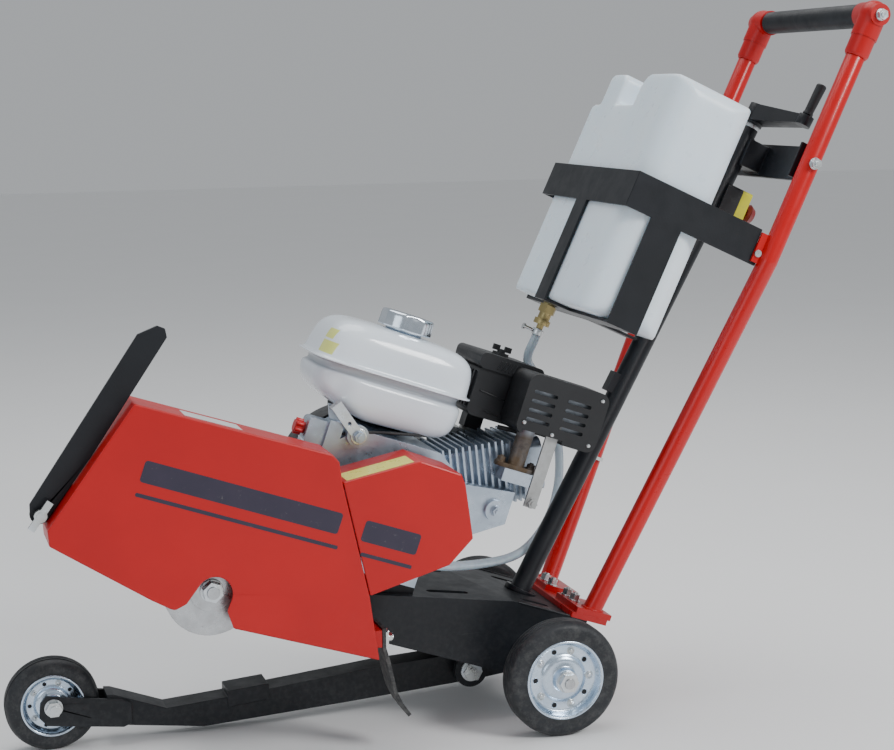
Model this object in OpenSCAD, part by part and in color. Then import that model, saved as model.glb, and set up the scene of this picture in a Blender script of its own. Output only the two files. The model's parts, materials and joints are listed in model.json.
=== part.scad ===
// Walk-behind concrete saw, standing nose-up on its guide wheel for transport.
// Millimetres. -X is the front, -Y is the blade side, +Z is up.

/* [Stance] */
// Distance of the rear axle behind the origin
axle_x = 119.7; // [80:1:160]
// Nose-up tilt of the chassis in the transport position
nose_up = 19.5; // [15:0.5:22]

/* [Wheels] */
// Diameter of the rear tyres
rear_wheel_d = 160; // [150:1:170]
// Width of the rear tyres
rear_wheel_w = 40; // [34:1:44]
// Diameter of the front tyre
front_wheel_d = 125; // [115:1:135]
// Width of the front tyre
front_wheel_w = 36; // [30:1:37]
// Distance between the centre planes of the rear wheels
track = 356; // [340:1:370]
// Front axle ahead of the rear axle
wheelbase = 663; // [650:1:680]

/* [Handle] */
// Lean of the handle above the ground
handle_lean = 65; // [60:0.5:70]
// Diameter of the handle pipe
pipe_d = 26.9; // [22:0.1:30]
// Half distance between the pipes at the top
leg_y_top = 162; // [150:1:170]
// Half distance between the pipes at the feet
leg_y_foot = 87; // [80:1:95]
// Length of pipe from the foot to its bend
leg_bend_s = 538; // [500:1:560]
// Length of pipe from the foot to the grip
grip_s = 904; // [880:1:920]

/* [Depth crank] */
// Lean of the spindle above the ground
spindle_lean = 61.3; // [60:0.1:63]
// Radius of the crank
crank_r = 108; // [90:1:115]

/* [Frame] */
// Half width of the base frame
base_half_w = 100; // [90:1:105]
// Thickness of the frame plate
plate_t = 5; // [4:0.5:6]

/* [Guard] */
// Near face of the guard, measured from the middle
guard_y = 200; // [190:1:205]
// Width of the blade guard
guard_w = 72; // [60:1:80]
// Width of the belt cover
cover_w = 88; // [80:1:92]
// Thickness of the guard sheet
sheet_t = 3; // [2:0.5:4]

/* [Blade drive] */
// Outside diameter of the blade flanges
flange_d = 120; // [100:1:130]
// Diameter of the arbor where the blade sits
arbor_seat_d = 25.4; // [20:0.1:30]
// Pitch diameter of the engine pulley
engine_pulley_d = 100; // [80:1:110]
// Pitch diameter of the arbor pulley
arbor_pulley_d = 90; // [80:1:110]

/* [Water] */
// Width of the water tank
tank_w = 300; // [260:1:304]
// Depth of the water tank
tank_depth = 128; // [100:1:130]
// Height of the water tank
tank_h = 343; // [300:1:350]

/* [Hidden] */

$fn = 64;
eps = 0.01;
run_gap = 0.05;                      // radial clearance of a running fit
body_gap = 0.4;                      // clearance between parts that move past each other

axle_h = rear_wheel_d / 2;
front_axle_h = front_wheel_d / 2;
rear_axle_r = 10;
front_axle_r = 6;

leg_foot = [84, 143.5];              // foot of the handle pipes, behind the rear axle and above ground
spindle_foot = [3, 150];             // where the spindle axis meets the base plate
arm_pivot = [-83, 56];               // pivot of the guide-wheel arm
arm_w = 40;
arm_hole_r = 10;
pivot_ear_y = 34;

engine_floor = 50;                   // height of the engine feet above the rear axle, chassis level
shaft = [-290, 156];                 // engine shaft, chassis level
arbor = [-501, -2];                  // blade arbor, chassis level
arbor_r = 15;
shaft_r = 9.5;
barrel_lean = 25;

tank_back = 92;                      // back of the water tank in front of the handle plane
tank_foot = 377;                     // bottom of the water tank, along the handle
strap_t = 4;
band_h = 50;
band_s = 525;
cradle_out = 158;

pointer_pivot = [-735, 36];
pointer_y = -165;

// ---------- placing and simple shapes ----------

module at_rear_axle() translate([axle_x, 0, axle_h]) children();
module at_ground() translate([axle_x, 0, 0]) children();
module chassis() at_rear_axle() rotate([0, nose_up, 0]) children();
module on_handle() at_ground() translate([leg_foot[0], 0, leg_foot[1]])
    rotate([0, 90 - handle_lean, 0]) children();
module on_spindle() at_ground() translate([spindle_foot[0], 0, spindle_foot[1]])
    rotate([0, 90 - spindle_lean, 0]) children();
module at_xz(p) translate([p[0], 0, p[1]]) children();
module at_arm_pivot() at_ground() at_xz(arm_pivot) children();
module at_front_axle() at_ground() translate([-wheelbase, 0, front_axle_h]) children();

// A round bar along Y
module rod_y(r, y_lo, y_hi) translate([0, y_lo, 0]) rotate([-90, 0, 0]) cylinder(r = r, h = y_hi - y_lo);
// A flat outline in the X-Z plane, thick along Y
module plate_xz(points, y_lo, y_hi)
    translate([0, y_hi, 0]) rotate([90, 0, 0]) linear_extrude(y_hi - y_lo) polygon(points);
module box(x, y, z) translate([x[0], y[0], z[0]]) cube([x[1] - x[0], y[1] - y[0], z[1] - z[0]]);
module both_sides() { children(); mirror([0, 1, 0]) children(); }
// A block with rounded vertical edges, standing on z = 0
module round_block(size, r) linear_extrude(size[2]) round_rect(size[0], size[1], r);
module round_rect(w, d, r) {
    square([w - 2 * r, d], center = true);
    square([w, d - 2 * r], center = true);
    for (sx = [-1, 1], sy = [-1, 1]) translate([sx * (w / 2 - r), sy * (d / 2 - r)]) circle(r);
}
// A hexagon bolt head with its washer, seated on z = 0 and rising along +Z
module bolt_head(across, h) {
    cylinder(r = across * 0.64, h = 2);
    translate([0, 0, 2 - eps]) cylinder(d = across / cos(30), h = h + eps, $fn = 6);
    translate([0, 0, 2 + h - eps]) cylinder(r = across * 0.28, h = 2);
}

// A point given behind the rear axle and above ground, in the chassis frame
function chassis_xz(p) = [p[0] * cos(nose_up) - (p[1] - axle_h) * sin(nose_up),
    p[0] * sin(nose_up) + (p[1] - axle_h) * cos(nose_up)];
function unit(v) = v / norm(v);
function left_of(v) = [-v[1], v[0]];
// Outline moved inwards by t, for points listed anticlockwise
function inset(p, t) = [for (i = [0:len(p) - 1])
    let (n = len(p), u = left_of(unit(p[i] - p[(i + n - 1) % n])), v = left_of(unit(p[(i + 1) % n] - p[i])))
    p[i] + (u + v) * t / (1 + u * v)];

// ---------- chassis ----------

base_side = [[-560, -30], [-40, -30], [34, -30], [50, 10], [50, 70], [-66, 70], [-116, 60],
    [-274, 28], [-560, 28]];
base_top = [[50, 70], [-66, 70], [-116, 60], [-274, 28], [-560, 28], [-560, 28 - plate_t],
    [-274, 28 - plate_t], [-116, 60 - plate_t], [-66, 70 - plate_t], [50, 70 - plate_t]];

module base_frame() color("#15171a") difference() {
    union() {
        chassis() both_sides() plate_xz(base_side, base_half_w - plate_t, base_half_w);
        chassis() plate_xz(base_top, -base_half_w, base_half_w);
        chassis() box([45, 50], [-base_half_w, base_half_w], [20, 70]);
        chassis() box([-560, -555], [-base_half_w, base_half_w], [-10, 28]);
        chassis() both_sides() rod_y(20, base_half_w - plate_t - 1, base_half_w + 12);
        both_sides() pivot_ear();
    }
    at_rear_axle() rod_y(rear_axle_r, -200, 200);
    at_arm_pivot() rod_y(arm_hole_r, -60, 60);
    on_spindle() translate([0, 0, -40]) cylinder(r = 14, h = 80);
    for (y = [-64, 64]) chassis() translate([-20, y, 40]) round_block([44, 14, 50], 6.9);
    for (y = [-62, 62]) chassis() translate([-150, y, 20]) round_block([60, 14, 60], 6.9);
    for (y = [-66, 66], x = [-230, -375]) chassis() translate([x, y, 10]) cylinder(r = 4.2, h = 60);
    chassis() at_xz(arbor) rod_y(arbor_r + 7, -base_half_w - 1, base_half_w + 1);
}
module pivot_ear() intersection() {
    at_arm_pivot() {
        rod_y(24, pivot_ear_y, pivot_ear_y + 8);
        rotate([0, nose_up, 0]) box([-20, 20], [pivot_ear_y, pivot_ear_y + 8], [12, 118]);
    }
    chassis() plate_xz([[-200, -90], [0, -90], [0, 68], [-66, 68], [-116, 58], [-200, 40]], 0, 60);
}

module engine_rails() color("#1c1e21") chassis() difference() {
    for (y = [-66, 66]) box([-415, -205], [y - 16, y + 16], [28, engine_floor]);
    for (y = [-66, 66], x = [-230, -375]) translate([x, y, 20]) cylinder(r = 4.2, h = 60);
    plate_xz([[-274, 28], [-274, 10], [-116, 10], [-116, 60]], -90, 90);
}

module frame_bolts() color("#c3c8cc") {
    chassis() for (y = [-66, 66], x = [-230, -375]) translate([x, y, engine_floor + 14]) bolt_head(13, 8);
    chassis() for (x = [-235, -330]) translate([x, -base_half_w, -21]) rotate([90, 0, 0]) bolt_head(13, 7);
    chassis() for (y = [-58, -30, 30, 58]) translate([40, y, 86]) bolt_head(13, 8);
    on_handle() both_sides() translate([0, leg_y_top + pipe_d / 2 + 0.05, 684])
        rotate([-90, 0, 0]) bolt_head(13, 6);
    on_handle() both_sides() translate([0, leg_y_top + 20, grip_s]) rotate([-90, 0, 0]) bolt_head(13, 6);
    on_handle() both_sides() translate([-19, leg_y_top, band_s + 17])
        rotate([-90, 0, 0]) cylinder(r = 5, h = 2.5);
    at_ground() box([-246, -242], [-181, -137], [148, 168]);
    for (y = [-170, -148]) at_ground() translate([-242, y, 158]) rotate([0, 90, 0]) bolt_head(10, 5);
}

guard_out = [[-725, 24], [-717, 6], [-577, -28], [-550, -33], [-465, -38], [-264, -33], [-304, 45],
    [-386, 178], [-398, 202], [-410, 209], [-670, 203]];
cover_out = [[-385, 178], [-303.4, 45.6], [-212, 111], [-192, 153], [-225, 218], [-235, 230], [-294, 232]];

// Slot that lets the guard drop over the arbor from below
module arbor_slot(y_lo, y_hi, r) {
    at_xz(arbor) rod_y(r, y_lo, y_hi);
    at_xz(arbor)
        plate_xz([[-r * 0.93, r * 0.36], [-31, -20], [-52, -40], [40, -40], [22, -16], [r, 0]], y_lo, y_hi);
}
module blade_guard() color("#c8151b") difference() {
    union() {
        chassis() plate_xz(guard_out, -guard_y, -guard_y + guard_w);
        at_ground() box([-264, -251], [-183, -135], [148, 172]);
        at_pointer() pointer_lug();
    }
    chassis() guard_inside();
    at_pointer() rod_y(5, 0, 12);
    chassis() arbor_slot(-guard_y - 1, -guard_y + sheet_t + 1, 23);
    chassis() arbor_slot(-guard_y + guard_w - sheet_t - 1, -guard_y + guard_w + 1, 24);
}
// Ear on the guard's front edge that carries the pointer
module pointer_lug() 
    plate_xz([[-7, -5], [0, -9], [12.4, -8], [18, 10], [29, 46], [25, 46], [4, 12], [-7, 5]], 3, 8);
module guard_inside()
    plate_xz(concat([[-577, -60], [-264, -60]], [for (i = [5:10]) inset(guard_out, sheet_t)[i]],
        [inset(guard_out, sheet_t)[0], inset(guard_out, sheet_t)[1]]),
        -guard_y + sheet_t, -guard_y + guard_w - sheet_t);
// Hollow of the belt cover, open along the wall that it shares with the guard
cover_in = inset(cover_out, sheet_t);
module belt_cover() color("#c8151b") chassis() difference() {
    plate_xz(cover_out, -guard_y, -guard_y + cover_w);
    plate_xz(concat([cover_in[0] + 8 * unit(cover_out[0] - cover_out[6])],
        [cover_in[1] - 8 * unit(cover_out[2] - cover_out[1])],
        [for (i = [2:6]) cover_in[i]]), -guard_y + sheet_t, -guard_y + cover_w + 1);
}

flap_front = [[-251, 174], [-251, 147], [-245.5, 127], [-241, 105], [-237, 85], [-229, 67], [-217, 50]];
flap_back = [[-213, 53], [-224.5, 69.5], [-232, 87], [-236, 106], [-240.5, 128], [-246, 148], [-246, 174]];
module rubber_flap() color("#1b1c1e") at_ground() difference() {
    plate_xz(concat(flap_front, flap_back), -183, -135);
    translate([-300, -135, 110]) rotate([-15, 0, 0]) translate([0, 0, -90]) cube([100, 40, 90]);
}

module rear_bracket() color("#c8151b") chassis() difference() {
    union() {
        box([22, 78], [-104, 104], [70, 77.8]);
        box([50, 56], [-80, 80], [40, 72]);
    }
    for (y = [-58, -30, 30, 58]) translate([40, y, 60]) cylinder(r = 4.2, h = 30);
    box([62, 80], [-40, 40], [60, 90]);
}

// ---------- handle ----------

// Everything below the middle of the foot plates, in the handle's frame
module below_foot_plate() rotate([0, handle_lean - 90 + nose_up, 0])
    at_xz(-chassis_xz(leg_foot)) box([-60, 160], [-160, 160], [-40, 83]);
module leg() {
    lean_in = atan((leg_y_top - leg_y_foot) / leg_bend_s);
    low_len = norm([leg_y_top - leg_y_foot, leg_bend_s]);
    on_handle() {
        difference() {
            translate([0, leg_y_foot, 0]) rotate([-lean_in, 0, 0]) translate([0, 0, -14])
                cylinder(d = pipe_d, h = low_len + 14);
            below_foot_plate();
        }
        translate([0, leg_y_top, leg_bend_s]) sphere(d = pipe_d + 0.4);
        translate([0, leg_y_top, leg_bend_s]) cylinder(d = pipe_d, h = grip_s - leg_bend_s - 26);
        box([-24, -10], [cradle_out, leg_y_top], [band_s + 4, band_s + band_h - 4]);
    }
    chassis() difference() {
        box([28, 82], [22, 104], [77.8, 86]);
        for (y = [30, 58]) translate([40, y, 60]) cylinder(r = 4.2, h = 40);
    }
}
module handle_leg_right() color("#cf1a1e") leg();
module handle_leg_left() color("#cf1a1e") mirror([0, 1, 0]) leg();

module handle_elbows() color("#c8151b") on_handle() both_sides() difference() {
    union() {
        translate([0, leg_y_top, grip_s]) sphere(r = 20);
        translate([0, leg_y_top, grip_s - 34]) cylinder(r = 18.5, h = 34);
        translate([0, leg_y_top, grip_s - 58]) cylinder(r = 17, h = 25);
        translate([0, leg_y_top, grip_s - 62]) cylinder(r1 = 15, r2 = 17, h = 4);
        translate([0, 0, grip_s]) rod_y(18.5, leg_y_top - 26, leg_y_top);
        translate([0, 0, grip_s]) rod_y(15, leg_y_top, leg_y_top + 20);
    }
    translate([0, leg_y_top, grip_s - 70]) cylinder(d = pipe_d, h = 44);
    translate([0, 0, grip_s]) rod_y(pipe_d / 2, leg_y_top - 40, leg_y_top - 14);
}
module grip_tube() color("#8d9196") on_handle() translate([0, 0, grip_s]) difference() {
    rod_y(pipe_d / 2, -leg_y_top + 14, leg_y_top - 14);
    rod_y(pipe_d / 2 - 2.6, -leg_y_top, leg_y_top);
}
module grip_sleeve() color("#1e2227") on_handle() translate([0, 0, grip_s]) difference() {
    rod_y(16.5, -leg_y_top + 27, leg_y_top - 27);
    rod_y(pipe_d / 2, -leg_y_top, leg_y_top);
}

// ---------- depth crank ----------

tube_top = 738;
module crank_bracket() color("#17191c") on_handle() {
    difference() {
        union() {
            box([2, 6], [-148.4, 148.4], [659, 709]);
            both_sides() box([-16, 6], [144.4, 148.4], [659, 709]);
            box([-30, 2], [-24, 24], [664, 704]);
        }
        on_handle_spindle_bore();
    }
}
// The spindle axis seen from the handle's own frame
module on_handle_spindle_bore()
    rotate([0, handle_lean - 90, 0])
        translate([spindle_foot[0] - leg_foot[0], 0, spindle_foot[1] - leg_foot[1]])
        rotate([0, 90 - spindle_lean, 0]) cylinder(r = 15, h = 900);

module spindle_tube() color("#141619") on_spindle() difference() {
    union() {
        cylinder(r = 15, h = tube_top);
        translate([0, 0, tube_top - eps]) cylinder(r = 13, h = 12);
        translate([-22, -9, 318]) cube([14, 18, 30]);
        translate([0, 0, -8]) cylinder(r = 22, h = 16);
    }
    translate([0, 0, -40]) cylinder(r = 12, h = tube_top - 40);
    translate([0, 0, 100]) cylinder(r = 8 + run_gap, h = tube_top);
    under_base_top();
}
// Everything below the top of the base plate, in the spindle's frame
module under_base_top() rotate([0, spindle_lean - 90 + nose_up, 0])
    at_xz(-chassis_xz(spindle_foot)) box([-80, 50], [-50, 50], [0, 70]);
module spindle_screw() color("#8f9499") on_spindle() {
    translate([0, 0, 120]) cylinder(r = 8, h = tube_top - 72);
    translate([0, 0, tube_top + 12 + body_gap]) cylinder(r = 13, h = 6);
}
nose_s = -61.8;                      // centre of the rounded lower end of the push rod
module push_rod() color("#8f9499") on_spindle() difference() {
    union() {
        translate([0, 0, nose_s]) cylinder(r = 12 - run_gap, h = 200 - nose_s);
        translate([0, 0, nose_s]) sphere(r = 12 - run_gap);
    }
    translate([0, 0, 112]) cylinder(r = 8 + run_gap, h = 100);
}
crank_turn = 78.5;                     // direction of the crank about the spindle
knob_s = tube_top + 48;
module crank_arm() color("#1a1c20") on_spindle() rotate([0, 0, -crank_turn]) difference() {
    union() {
        translate([0, 0, tube_top + 18 + body_gap]) cylinder(r = 15, h = 29);
        intersection() {
            plate_xz([[0, tube_top + 21], [crank_r, tube_top + 31], [crank_r, tube_top + 44],
                [0, tube_top + 47]], -13, 13);
            translate([0, 0, tube_top]) linear_extrude(60)
                polygon([[0, -13], [crank_r, -9], [crank_r, 9], [0, 13]]);
        }
        translate([crank_r, 0, tube_top + 30]) cylinder(r = 11, h = 15);
        translate([crank_r, 0, tube_top + 30]) cylinder(r = 4, h = 60);
    }
    translate([0, 0, tube_top]) cylinder(r = 8, h = 60);
}
module crank_knob() color("#22262b") on_spindle() rotate([0, 0, -crank_turn])
    translate([crank_r, 0, 0]) difference() {
    union() {
        translate([0, 0, knob_s]) cylinder(r1 = 6.4, r2 = 7.4, h = 43);
        translate([0, 0, knob_s + 43 - eps]) cylinder(r1 = 7.4, r2 = 6, h = 2);
        translate([0, 0, knob_s - 1]) cylinder(r = 7.4, h = 3);
    }
    translate([0, 0, knob_s - 5]) cylinder(r = 4 + run_gap, h = 47.6);
}

// ---------- water ----------

tank_mid = tank_back + tank_depth / 2;
tank_front = tank_back + tank_depth;
cradle_front = tank_front + 1 + strap_t;
module tank_cradle() color("#16181c") on_handle() {
    difference() {
        box([-cradle_front, -14], [-cradle_out, cradle_out], [band_s, band_s + band_h]);
        box([-cradle_front + strap_t, 0], [-cradle_out + strap_t, cradle_out - strap_t],
            [band_s - 1, band_s + band_h + 1]);
        both_sides() box([-24, 0], [cradle_out - strap_t - 1, cradle_out + 1], [band_s + 30, band_s + 60]);
    }
    both_sides() box([-183, -135], [cradle_out - strap_t, cradle_out], [tank_foot - 4, band_s + 1]);
    difference() {
        box([-183, -135], [-cradle_out, cradle_out], [tank_foot - 4.5, tank_foot - 0.5]);
        translate([-drain_n, drain_y, tank_foot - 8]) cylinder(r = 10, h = 10);
    }
    box([-cradle_front, -cradle_front + strap_t], [-19, 19], [tank_foot - 4.5, band_s + 1]);
    box([-cradle_front, -70], [-19, 19], [tank_foot - 4.5, tank_foot - 0.5]);
}
// Front view of the tank, with two humps beside a hand hole
module tank_front_outline() {
    r = 22;
    difference() {
        union() {
            translate([-tank_w / 2 + r, 0]) square([tank_w - 2 * r, tank_h - 48]);
            translate([-tank_w / 2, r]) square([tank_w, tank_h - 48 - 2 * r]);
            for (x = [-1, 1], y = [r, tank_h - 48 - r]) translate([x * (tank_w / 2 - r), y]) circle(r);
            translate([-tank_w / 2, tank_h - 100]) square([120, 100 - r]);
            translate([-tank_w / 2 + r, tank_h - 100]) square([125 - 2 * r, 100]);
            for (x = [-tank_w / 2 + r, -tank_w / 2 + 125 - r]) translate([x, tank_h - r]) circle(r);
            translate([-tank_w / 2 + 100, tank_h - 100]) square([25, 100 - r]);
            translate([38, tank_h - 60]) square([56, 60 - 10]);
            translate([48, tank_h - 60]) square([36, 60]);
            for (x = [48, 84]) translate([x, tank_h - 10]) circle(10);
        }
    }
}
module water_tank() color("#dfe9f2") on_handle() difference() {
    intersection() {
        translate([-tank_mid, 0, tank_foot]) round_block([tank_depth, tank_w, tank_h], 38);
        translate([-tank_front, 0, tank_foot]) rotate([90, 0, 90])
            linear_extrude(tank_depth) tank_front_outline();
    }
    translate([-tank_mid, 6, tank_foot + tank_h - 54]) cylinder(r = 17, h = 30);
}
module tank_cap() color("#d5dce2") on_handle() translate([-tank_mid, 6, 0]) difference() {
    union() {
        translate([0, 0, tank_foot + tank_h - 54 + body_gap]) cylinder(r = 17 - body_gap, h = 10);
        translate([0, 0, tank_foot + tank_h - 48 + body_gap]) cylinder(r = 20, h = 16);
        for (a = [0:30:330]) rotate([0, 0, a])
            translate([20, 0, tank_foot + tank_h - 47]) cylinder(r = 1.5, h = 14);
    }
}
drain_n = 185;
drain_y = 55;
module drain_fitting() color("#8e7a48") on_handle() translate([-drain_n, drain_y, 0]) {
    translate([0, 0, tank_foot - 6]) cylinder(r = 9, h = 6);
    translate([0, 0, tank_foot - 18]) cylinder(d = 26, h = 12, $fn = 6);
    translate([0, 0, tank_foot - 30]) cylinder(r = 9, h = 12);
    translate([0, 0, tank_foot - 36]) cylinder(r = 12, h = 8);
    translate([0, 0, tank_foot - 54]) cylinder(r = 5, h = 20);
}
// Route of the water hose, behind the rear axle, across and above ground
hose_route = [[56.2, 55, 521.7], [48.3, 55, 504.6], [42, 57, 490], [43, 62, 476], [54, 68, 460],
    [68, 76, 438],
    [84, 86, 408], [96, 94, 376], [103, 98, 346], [106, 100, 318], [104, 98, 290], [97, 92, 266],
    [86, 82, 246], [68, 66, 228], [44, 44, 214], [16, 18, 206], [-16, -12, 206], [-52, -46, 212],
    [-88, -80, 220], [-122, -108, 228], [-150, -130, 236], [-170, -142, 242]];
hose_r = 6.5;
hose_sides = 10;
function hose_way(i) = unit(hose_route[min(i + 1, len(hose_route) - 1)] - hose_route[max(i - 1, 0)]);
function hose_ring(i) = let (t = hose_way(i), a = unit(cross([0, 1, 0], t)), b = cross(t, a))
    [for (k = [0:hose_sides - 1]) let (turn = 360 * k / hose_sides)
        hose_route[i] + hose_r * (cos(turn) * a + sin(turn) * b)];
module water_hose() color("#b8cbd8") at_ground() {
    n = len(hose_route);
    polyhedron(
        points = [for (i = [0:n - 1]) each hose_ring(i)],
        faces = concat(
            [[for (k = [0:hose_sides - 1]) k]],
            [for (i = [0:n - 2], k = [0:hose_sides - 1]) let (j = (k + 1) % hose_sides)
                [i * hose_sides + k, (i + 1) * hose_sides + k, (i + 1) * hose_sides + j, i * hose_sides + j]],
            [[for (k = [hose_sides - 1:-1:0]) (n - 1) * hose_sides + k]]));
}
module hose_clips() color("#aeb4ba") {
    on_handle() translate([-drain_n, drain_y, tank_foot - 52]) {
        difference() {
            cylinder(r = 8.5, h = 9);
            translate([0, 0, -1]) cylinder(r = 7, h = 11);
        }
        translate([-9, 0, 4.5]) rotate([0, -90, 0]) cylinder(r = 2.5, h = 14);
        translate([-22, 0, 4.5]) rotate([0, -90, 0]) cylinder(r = 4.5, h = 3);
    }
    on_handle() translate([0, 0, 190]) difference() {
        translate([0, 112, 0]) round_block([30, 34, 5], 14);
        translate([0, 112, -1]) round_block([27.4, 31.4, 7], 13);
    }
}

estop_y = 2;
estop_s = 609;
module estop_box() color("#c9c81e") on_handle() translate([0, estop_y, estop_s]) difference() {
    union() {
        translate([-32, 0, 0]) rotate([0, 90, 0]) round_block([49, 44, 26], 4);
        translate([-6, 0, 0]) rotate([0, 90, 0]) round_block([49, 44, 16], 4);
        translate([10 - eps, 0, -2]) rotate([0, 90, 0]) cylinder(r = 11, h = 3);
    }
    translate([0, 0, -2]) rotate([0, 90, 0]) cylinder(r = 7 + run_gap, h = 40);
    translate([0, -estop_y, -estop_s]) on_handle_spindle_bore();
}
module estop_button() color("#8a1515") on_handle() translate([0, estop_y, estop_s - 2]) {
    translate([5, 0, 0]) rotate([0, 90, 0]) cylinder(r = 7, h = 16);
    translate([18, 0, 0]) rotate([0, 90, 0]) cylinder(r1 = 11, r2 = 15, h = 5);
    translate([23 - eps, 0, 0]) rotate([0, 90, 0]) cylinder(r1 = 15, r2 = 11, h = 8);
}

// ---------- wheels ----------

module rear_hub(side) at_rear_axle() translate([0, side * track / 2, 0])
    rotate([side * -90, 0, 0]) children();

// Solid rubber tyre on its rim, turning about Z
module tyre(d, w, rim_r) rotate_extrude($fn = 96) difference() {
    union() {
        translate([rim_r, -w / 2 + 3]) square([d / 2 - rim_r - 6, w - 6]);
        translate([rim_r, -w / 2]) square([d / 2 - rim_r - 12, w]);
        translate([rim_r, -w / 2 + 8]) square([d / 2 - rim_r, w - 16]);
        for (y = [-1, 1]) translate([d / 2 - 8, y * (w / 2 - 8)]) circle(8);
        for (y = [-1, 1]) translate([d / 2 - 12, y * (w / 2 - 3)]) circle(3);
    }
    for (y = [-7, 0, 7]) translate([d / 2 - 1.6, y - 1]) square([4, 2]);
}
// Pressed rim with a hub tube and five rivets, turning about Z, outer side up
module rim(r, w, hub_r, hub_h, bore_r) {
    difference() {
        rotate_extrude($fn = 96) {
            translate([r - 3, -w / 2 + 2]) square([3, w - 4]);
            for (y = [-w / 2 - 0.6, w / 2 - 2]) translate([r - 3, y]) square([5.4, 2.6]);
            translate([hub_r - 1, 4]) square([r - hub_r - 1, 3]);
            translate([hub_r - 1, 4]) square([r * 0.2, 8]);
            translate([bore_r, -hub_h / 2]) square([hub_r - bore_r, hub_h]);
        }
        for (a = [0:72:288]) rotate([0, 0, a + 36])
            translate([r * 0.74, 0, 0]) cylinder(r = r * 0.07, h = 12);
    }
    for (a = [0:72:288]) rotate([0, 0, a]) translate([r * 0.74, 0, 6.9]) cylinder(r = r * 0.075, h = 3.4);
}
rear_rim_r = 52.5;
front_rim_r = 40;
rear_hub_h = 48;
module rear_tyre_left() color("#1c1f23") rear_hub(-1) tyre(rear_wheel_d, rear_wheel_w, rear_rim_r);
module rear_tyre_right() color("#1c1f23") rear_hub(1) tyre(rear_wheel_d, rear_wheel_w, rear_rim_r);
module rear_rim_left() color("#b9c6d2") rear_hub(-1)
    rim(rear_rim_r, rear_wheel_w, 16, rear_hub_h, rear_axle_r + run_gap);
module rear_rim_right() color("#b9c6d2") rear_hub(1)
    rim(rear_rim_r, rear_wheel_w, 16, rear_hub_h, rear_axle_r + run_gap);
module front_tyre() color("#1c1f23") at_front_axle() rotate([90, 0, 0])
    tyre(front_wheel_d, front_wheel_w, front_rim_r);
module front_rim() color("#b9c6d2") at_front_axle() rotate([90, 0, 0])
    rim(front_rim_r, front_wheel_w, 13, 2 * 19.6, front_axle_r + run_gap);

hub_end = track / 2 + rear_hub_h / 2;
module rear_axle() color("#aab0b6") at_rear_axle() {
    rod_y(rear_axle_r, -hub_end - 3, hub_end + 3);
    rod_y(7, -hub_end - 13, hub_end + 13);
}
module axle_nuts() color("#c6ccd1") at_rear_axle() for (side = [-1, 1])
    translate([0, side * (hub_end + body_gap), 0]) rotate([side * -90, 0, 0]) {
        difference() {
            cylinder(r = 15, h = 2.6);
            translate([0, 0, -1]) cylinder(r = rear_axle_r, h = 6);
        }
        difference() {
            translate([0, 0, 2.6]) cylinder(d = 24 / cos(30), h = 8, $fn = 6);
            cylinder(r = 7, h = 20);
        }
    }

// ---------- guide-wheel arm ----------

arm_side = [[-600, 30], [-461, 11], [-255, 22.6], [-66, 35], [-18, 40], [-17, 79], [-215, 69],
    [-428, 49], [-512, 43], [-583, 70], [-600, 72]];
cheek_side = [[-672, 38], [-571, 25], [-560, 29], [-560, 58], [-571, 63], [-672, 79], [-680, 70], [-682, 50]];
module front_arm() color("#141518") at_ground() difference() {
    union() {
        plate_xz(arm_side, -arm_w / 2, arm_w / 2);
        both_sides() plate_xz(cheek_side, arm_w / 2, arm_w / 2 + 5);
        both_sides() plate_xz([[-428, 36], [-371, 41], [-371, 60], [-428, 55]], arm_w / 2, arm_w / 2 + 3);
        plate_xz([[-428, 49], [-371, 54], [-371, 63], [-428, 58.5]], -arm_w / 2 - 3, arm_w / 2 + 3);
        at_xz(arm_pivot) rod_y(18, -pivot_ear_y + body_gap, pivot_ear_y - body_gap);
        plate_xz([[-56, 76], [-17, 79], [-18, 84], [-56, 81]], -arm_w / 2 + 4, arm_w / 2 - 4);
    }
    plate_xz([[-700, 0], [-592, 0], [-592, 140], [-700, 140]], -arm_w / 2, arm_w / 2);
    translate([-wheelbase, 0, front_axle_h]) rod_y(front_axle_r, -60, 60);
    at_xz(arm_pivot) rod_y(arm_hole_r + run_gap, -60, 60);
    translate([-wheelbase, 0, front_axle_h]) rod_y(front_wheel_d / 2 + 5, -arm_w / 2, arm_w / 2);
}
module arm_pivot_bolt() color("#bfc5ca") at_arm_pivot() {
    rod_y(arm_hole_r, -pivot_ear_y - 8, pivot_ear_y + 8);
    both_sides() translate([0, pivot_ear_y + 8, 0]) rotate([-90, 0, 0]) bolt_head(24, 8);
}
module front_axle() color("#c6ccd1") at_front_axle() {
    rod_y(front_axle_r, -arm_w / 2 - 5, arm_w / 2 + 5);
    both_sides() translate([0, arm_w / 2 + 5, 0]) rotate([-90, 0, 0]) bolt_head(19, 8);
}

// ---------- pointer ----------

pointer_len = 275;
pointer_fold = 75;                   // angle of the folded bar above the level chassis
module at_pointer() chassis() at_xz(pointer_pivot) translate([0, pointer_y, 0]) children();
module pointer_bar() color("#0f1113") at_pointer() rotate([0, -pointer_fold, 0]) difference() {
    union() {
        translate([0, 2.5, 0]) rotate([90, 0, 0]) linear_extrude(5)
            polygon([[0, -12], [95, -16], [pointer_len - 8, -16], [pointer_len, -8], [pointer_len - 2, 2],
                [pointer_len - 24, 17], [4, 17], [-8, 9]]);
        rod_y(12.3, -2.5, 2.5);
    }
    rod_y(5 + run_gap, -10, 10);
}
module pointer_wing_nut() color("#b5babf") at_pointer() {
    rod_y(5, -17, 8);
    translate([0, -9, 0]) rotate([90, 0, 0]) cylinder(r = 8, h = 7);
    rotate([0, -73, 0]) for (x = [-1, 1]) translate([x * 13, -13.5, 0]) cube([16, 4, 9], center = true);
}

// ---------- blade drive ----------

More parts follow.
